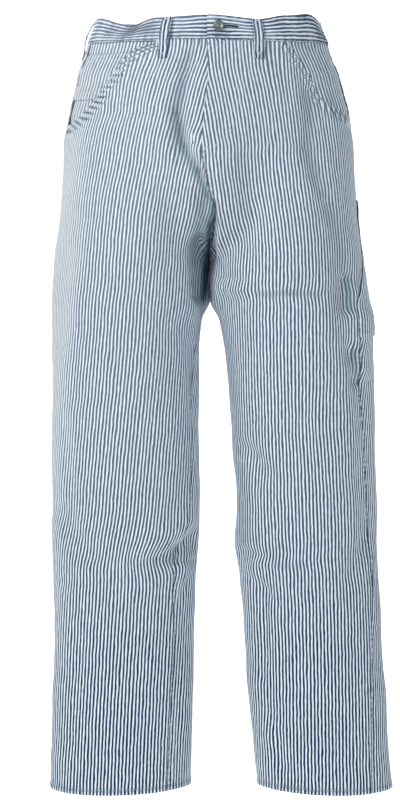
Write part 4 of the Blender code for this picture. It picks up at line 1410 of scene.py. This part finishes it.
class TROUSERS_OT_waistband(bpy.types.Operator):
    """Make the waistband, its buttonhole and its stitches"""

    bl_idname = "trousers.waistband"
    bl_label = "Waistband"

    def execute(self, context):
        section_z, rise, depth = band_section()
        angles = np.arange(0, 360 + BAND_UNDERLAP_DEG + 0.5, 0.8)
        angle, z = np.meshgrid(angles, section_z, indexing="ij")
        around = np.radians(angle) * WAIST_RADIUS
        gather = band_gather(around, z)
        out = BAND_PROUD - band_tuck(angle) - depth + gather * np.where(angle > 352, 0.2, 1.0)
        points, _ = band_point(angle, z, out)
        points[..., 2] += rise
        ids = np.arange(angle.size).reshape(angle.shape)
        ahead = np.roll(ids, -1, 1)
        quads = np.stack([ids[:-1], ids[1:], ahead[1:], ahead[:-1]], -1).reshape(-1, 4)
        section = np.append(0, np.cumsum(np.abs(np.diff(section_z + rise)) + np.abs(np.diff(depth))))
        first_blue = context.scene.trousers_cloth.pitch / 2 - 1.0 * MM
        uv = np.stack([np.broadcast_to(section + first_blue, angle.shape), around], -1).reshape(-1, 2)
        twill = shared_material("waistband_striped_twill")
        obj = add_mesh("waistband_cloth", points.reshape(-1, 3), quads, twill, uv)
        wear = np.clip(gather / (0.9 * MM), -1, 1)
        hole_x, hole_z = points[..., 0] - BUTTONHOLE_X, points[..., 2] - BUTTON_Z
        hole_shade_mask = np.hypot(hole_x / (15 * MM), hole_z / (5 * MM)) < 1
        # Painted shade on the underlap where it shows through the buttonhole
        wear[hole_shade_mask & (angle > 360)] = -1.0
        # Painted highlight on the band's right side, which faces the key light
        fade = BAND_FADE + BAND_RIGHT_HIGHLIGHT * ease(0.02, -0.06, points[..., 0])
        add_shares(obj, wear=wear, fade=fade)
        turn_outwards(obj, fill=True)
        self.cut_buttonhole(obj)
        stand_for("waistband")
        self.sew_edges(context.scene.trousers_sewing)
        return {"FINISHED"}

    def cut_buttonhole(self, obj):
        """Cuts a lens-shaped hole through the strip's upper end only."""
        turn = button_frame(BUTTONHOLE_X)
        bpy.ops.mesh.primitive_cylinder_add(vertices=32, radius=1.0, depth=1.0)
        cutter = bpy.context.object
        low, high = BAND_PROUD - BAND_WALL - BAND_LAP_GAP + 0.3 * MM, BAND_PROUD + 2.0 * MM
        size = Matrix.Diagonal((*BUTTONHOLE_SIZE, high - low, 1.0))
        lift = Matrix.Translation((0, 0, (low + high) / 2))
        cutter.data.transform(turn @ lift @ size)
        cut = obj.modifiers.new("buttonhole", "BOOLEAN")
        cut.operation, cut.object = "DIFFERENCE", cutter
        bpy.context.view_layer.objects.active = obj
        bpy.ops.object.modifier_apply(modifier=cut.name)
        bpy.data.objects.remove(cutter, do_unlink=True)

    def sew_edges(self, settings):
        """The rows along both edges, and the close stitches round the buttonhole."""
        angles = np.arange(1.2, 359, 0.8)
        lines = []
        for z in BAND_STITCHES:
            gather = band_gather(np.radians(angles) * WAIST_RADIUS, z)
            out = BAND_PROUD - band_tuck(angles) + gather
            lines.append(band_point(angles, np.full(len(angles), z), out))
        sew("waistband_stitches", lines, settings)
        turn = button_frame(BUTTONHOLE_X)
        normal = (turn.to_3x3() @ Vector((0, 0, 1))).normalized()
        edge = []
        for angle in np.linspace(0, math.tau, PURL_COUNT, endpoint=False):
            around = Vector((math.cos(angle), math.sin(angle), 0))
            middle = Vector((around.x * PURL_SIZE[0], around.y * PURL_SIZE[1], BAND_PROUD + 0.3 * MM))
            ends = [turn @ (middle + around * PURL_LENGTH * share) for share in (-0.5, 0.0, 0.5)]
            edge.append((np.array(ends), np.array([normal[:]] * 3)))
        sew("buttonhole_stitches", edge, PURL_STITCH)


def button_frame(x):
    """The place on the waistband's left front that shows at x in the front view, with its outward turn."""
    angles = np.linspace(0.5, 60, 240)
    points, _ = band_point(angles, np.full(len(angles), BUTTON_Z), 0.0)
    angle = np.interp(x, points[:, 0], angles)
    point, normal = band_point(np.array([angle]), np.array([BUTTON_Z]), 0.0)
    z_axis = Vector(normal[0]).normalized()
    x_axis = Vector((0, 0, 1)).cross(z_axis).normalized()
    turn = Matrix((x_axis, z_axis.cross(x_axis), z_axis)).transposed().to_4x4()
    return Matrix.Translation(point[0]) @ turn


class TROUSERS_OT_button(bpy.types.Operator):
    """Make the tack button"""

    bl_idname = "trousers.button"
    bl_label = "Tack Button"

    def execute(self, context):
        foot = BAND_PROUD - BAND_WALL - BAND_LAP_GAP + 0.5 * MM
        top = BAND_PROUD + 0.7 * MM
        # The cap and its dish: how far in from the rim, and the height above the shank
        cap = (
            (0.9, 0),
            (0.25, 0.25),
            (0, 0.8),
            (0.15, 1.3),
            (0.7, 1.9),
            (1.3, 2.2),
            (1.9, 2.2),
            (2.5, 1.8),
            (3.0, 1.35),
            (3.8, 1.2),
            (5.1, 1.25),
            (5.5, 1.7),
            (6.2, 2.0),
            (7.0, 2.05),
        )
        profile = [(0.0, foot), (1.1 * MM, foot), (1.1 * MM, top)]
        profile += [(BUTTON_RADIUS - inset * MM, top + height * MM) for inset, height in cap]
        shape = bmesh.new()
        ring = [shape.verts.new((radius, 0, height)) for radius, height in profile]
        edges = [shape.edges.new(pair) for pair in zip(ring[:-1], ring[1:])]
        bmesh.ops.spin(shape, geom=ring + edges, cent=(0, 0, 0), axis=(0, 0, 1), angle=math.tau, steps=56)
        bmesh.ops.remove_doubles(shape, verts=shape.verts, dist=0.01 * MM)
        bmesh.ops.recalc_face_normals(shape, faces=shape.faces)
        bmesh.ops.transform(shape, matrix=button_frame(BUTTON_X), verts=shape.verts)
        mesh = bpy.data.meshes.new("waist_button")
        shape.to_mesh(mesh)
        shape.free()
        obj = add_object("waist_button", mesh, plated_button_metal())
        stand_for("waist_button")
        return {"FINISHED"}


class TROUSERS_OT_belt_loops(bpy.types.Operator):
    """Make the five belt loops with their stitches and bar tacks"""

    bl_idname = "trousers.belt_loops"
    bl_label = "Belt Loops"

    def execute(self, context):
        for seed, (name, angle_top, angle_foot) in enumerate(LOOP_ROWS):
            self.make_loop(name, angle_top, angle_foot, seed, context.scene)
        return {"FINISHED"}

    def make_loop(self, name, angle_top, angle_foot, seed, scene):
        """One loop with its crown, its gathers at the foot, two rows of stitches and two tacks."""
        z = np.linspace(LOOP_TOP, LOOP_FOOT, 60)
        out = smooth_read(PROFILE_ROWS, PROFILE_COLUMNS, "out", z) * MM
        share = (z - z[-1]) / (z[0] - z[-1])
        middle = angle_foot + (angle_top - angle_foot) * share
        ahead, _ = band_point(middle + 0.5, z, 0.0)
        behind, _ = band_point(middle - 0.5, z, 0.0)
        for_degree = np.linalg.norm(ahead - behind, axis=-1)
        width = LOOP_WIDTH * (1 + 0.03 * ripple(z, 0.0, 7 + seed, 15 * MM, 40 * MM, 4))
        across, heights = grid(np.linspace(-0.5, 0.5, 15), z)
        angle = middle[:, None] + across * (width / for_degree)[:, None]
        crown = 0.35 * MM * (1 - (2 * across) ** 4)
        gathers = 0.35 * MM * np.sin(across * 15 + seed) * ease(-38 * MM, -48 * MM, heights)
        lift = out[:, None] + LOOP_WALL + crown + gathers - 0.35 * MM
        points, _ = band_point(angle, heights, lift)
        middle_u = scene.trousers_cloth.pitch / 2
        cloth = Cloth(points, grid_normals(points, LEFT), across * LOOP_WIDTH + middle_u, heights)
        cloth.fade = np.full(cloth.u.shape, LOOP_FADE)
        # Painted shade in scallops at the loop's foot, under its tack
        foot_shade = 0.5 + 0.5 * np.cos(across * 19 + seed)
        cloth.wear = -foot_shade * ease(-44 * MM, -47 * MM, heights)
        twill = shared_material("belt_loop_striped_twill")
        make_cloth(name + "_cloth", name, cloth, LOOP_WALL * 0.8, LEFT, twill)
        down = np.linspace(-1 * MM, -45 * MM, 50)
        lines = [cloth.at(np.full(50, middle_u + place * LOOP_WIDTH), down) for place in (-0.34, 0.34)]
        for tack_z in (-2.2 * MM, -47.0 * MM):
            lines += tack_lines(cloth, middle_u, tack_z, LOOP_WIDTH * 0.86, 2.4 * MM, 6)
        sew(name + "_stitches", lines, scene.trousers_sewing)


def plain_paper():
    """Matt white studio paper."""
    material, shader = new_material("studio_paper")
    place = add_node(material, "TexCoord", output="Object")
    grain = add_node(material, "TexNoise", {"Vector": place, "Scale": 3.0})
    inputs = {0: grain, 6: linear("fafafa"), 7: linear("ffffff")}
    tone = add_node(material, "Mix", inputs, 2, data_type="RGBA")
    set_inputs(shader, {"Base Color": tone, "Roughness": 1.0, "Specular IOR Level": 0.0})
    set_inputs(shader, {"Emission Color": linear("ffffff"), "Emission Strength": 0.24})
    return material


class TROUSERS_OT_stage(bpy.types.Operator):
    """Make the floor, the lights and the camera"""

    bl_idname = "trousers.stage"
    bl_label = "Stage"

    def execute(self, context):
        scene, settings = context.scene, context.scene.trousers_stage
        self.make_paper(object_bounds()[0].z - PAPER_DROP)
        self.make_lights(settings)
        camera = bpy.data.cameras.new("camera")
        camera.lens = CAMERA_FOCAL_PX / PHOTO_HEIGHT_PX * camera.sensor_width
        camera.clip_end = 100
        viewer = bpy.data.objects.new("camera", camera)
        viewer.location = (CAMERA_X, -settings.camera_distance, CAMERA_Z)
        viewer.rotation_euler = (math.radians(90 - CAMERA_PITCH_DEG), 0, 0)
        scene.collection.objects.link(viewer)
        scene.camera = viewer
        scene.view_settings.view_transform = "Standard"
        return {"FINISHED"}

    def make_paper(self, floor_z):
        """A floor that sweeps up behind into a backdrop."""
        bpy.ops.mesh.primitive_grid_add(x_subdivisions=2, y_subdivisions=64, size=1.0)
        paper = bpy.context.object
        paper.name = "studio_paper"
        flat, bend = PAPER_FLAT_SHARE, PAPER_BEND_SHARE
        radius = bend * PAPER_LENGTH / (math.pi / 2)
        for vert in paper.data.vertices:
            run = vert.co.y + 0.5
            angle = min(max((run - flat) / bend, 0), 1) * math.pi / 2
            y = PAPER_FRONT + min(run, flat) * PAPER_LENGTH + radius * math.sin(angle)
            z = radius * (1 - math.cos(angle)) + max(run - flat - bend, 0) * PAPER_LENGTH
            vert.co = Vector((vert.co.x * PAPER_WIDTH, y, floor_z + z))
        bpy.ops.object.shade_smooth()
        paper.data.materials.append(plain_paper())
        paper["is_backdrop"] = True

    def make_lights(self, settings):
        lights = (
            ("key", (-1.6, -1.9, 1.7), (0, 0, -0.4), 1.2, settings.key_power, (1.0, 0.99, 0.98)),
            ("fill", (2.4, -2.6, 1.0), (0, 0, -0.4), 2.0, settings.key_power * 0.42, (0.9, 0.98, 1.0)),
            ("backdrop", (0.0, 4.5, 5.0), (0, 7.5, -1.0), 5.0, settings.key_power * 14, (1.0, 1.0, 1.0)),
        )
        for name, place, goal, size, power, colour in lights:
            data = bpy.data.lights.new(name, "AREA")
            data.shape, data.size, data.energy, data.color = "DISK", size, power, colour
            obj = bpy.data.objects.new(name, data)
            obj.location = place
            obj.rotation_euler = (Vector(goal) - Vector(place)).to_track_quat("-Z", "Y").to_euler()
            bpy.context.scene.collection.objects.link(obj)
        world = bpy.data.worlds.new("studio")
        world.use_nodes = True
        world.node_tree.nodes["Background"].inputs[0].default_value = linear("e2f1f4")
        world.node_tree.nodes["Background"].inputs[1].default_value = 0.17
        bpy.context.scene.world = world


class TROUSERS_PT_sidebar(bpy.types.Panel):
    """Lists the steps that make the trousers"""

    bl_idname = "TROUSERS_PT_sidebar"
    bl_label = "Work Trousers"
    bl_space_type = "VIEW_3D"
    bl_region_type = "UI"
    bl_category = "Trousers"

    def draw(self, context):
        scene = context.scene
        for group, names in (
            (scene.trousers_cloth, ("pitch", "blue_share", "twill")),
            (scene.trousers_sewing, ("stitch", "step", "thickness")),
            (scene.trousers_stage, ("key_power", "camera_distance")),
        ):
            for name in names:
                self.layout.prop(group, name)
        for operator in OPERATORS:
            self.layout.operator(operator.bl_idname)


OPERATORS = (
    TROUSERS_OT_legs,
    TROUSERS_OT_pockets,
    TROUSERS_OT_fly,
    TROUSERS_OT_waistband,
    TROUSERS_OT_button,
    TROUSERS_OT_belt_loops,
    TROUSERS_OT_stage,
)
SETTINGS = {
    "trousers_cloth": ClothSettings,
    "trousers_sewing": SewingSettings,
    "trousers_stage": StageSettings,
}


def register():
    for group in SETTINGS.values():
        bpy.utils.register_class(group)
    for name, group in SETTINGS.items():
        setattr(bpy.types.Scene, name, bpy.props.PointerProperty(type=group))
    for operator in OPERATORS:
        bpy.utils.register_class(operator)
    bpy.utils.register_class(TROUSERS_PT_sidebar)


def unregister():
    bpy.utils.unregister_class(TROUSERS_PT_sidebar)
    for operator in reversed(OPERATORS):
        bpy.utils.unregister_class(operator)
    for name in SETTINGS:
        delattr(bpy.types.Scene, name)
    for group in SETTINGS.values():
        bpy.utils.unregister_class(group)


def main():
    register()
    bpy.ops.trousers.legs()
    bpy.ops.trousers.pockets()
    bpy.ops.trousers.fly()
    bpy.ops.trousers.waistband()
    bpy.ops.trousers.button()
    bpy.ops.trousers.belt_loops()
    bpy.ops.trousers.stage()
    bpy.context.view_layer.update()
    boxes = {"cad": CAD_BOX, "visual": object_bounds()}
    boxes = {name: [list(corner) for corner in box] for name, box in boxes.items()}


if __name__ == "__main__":
    main()
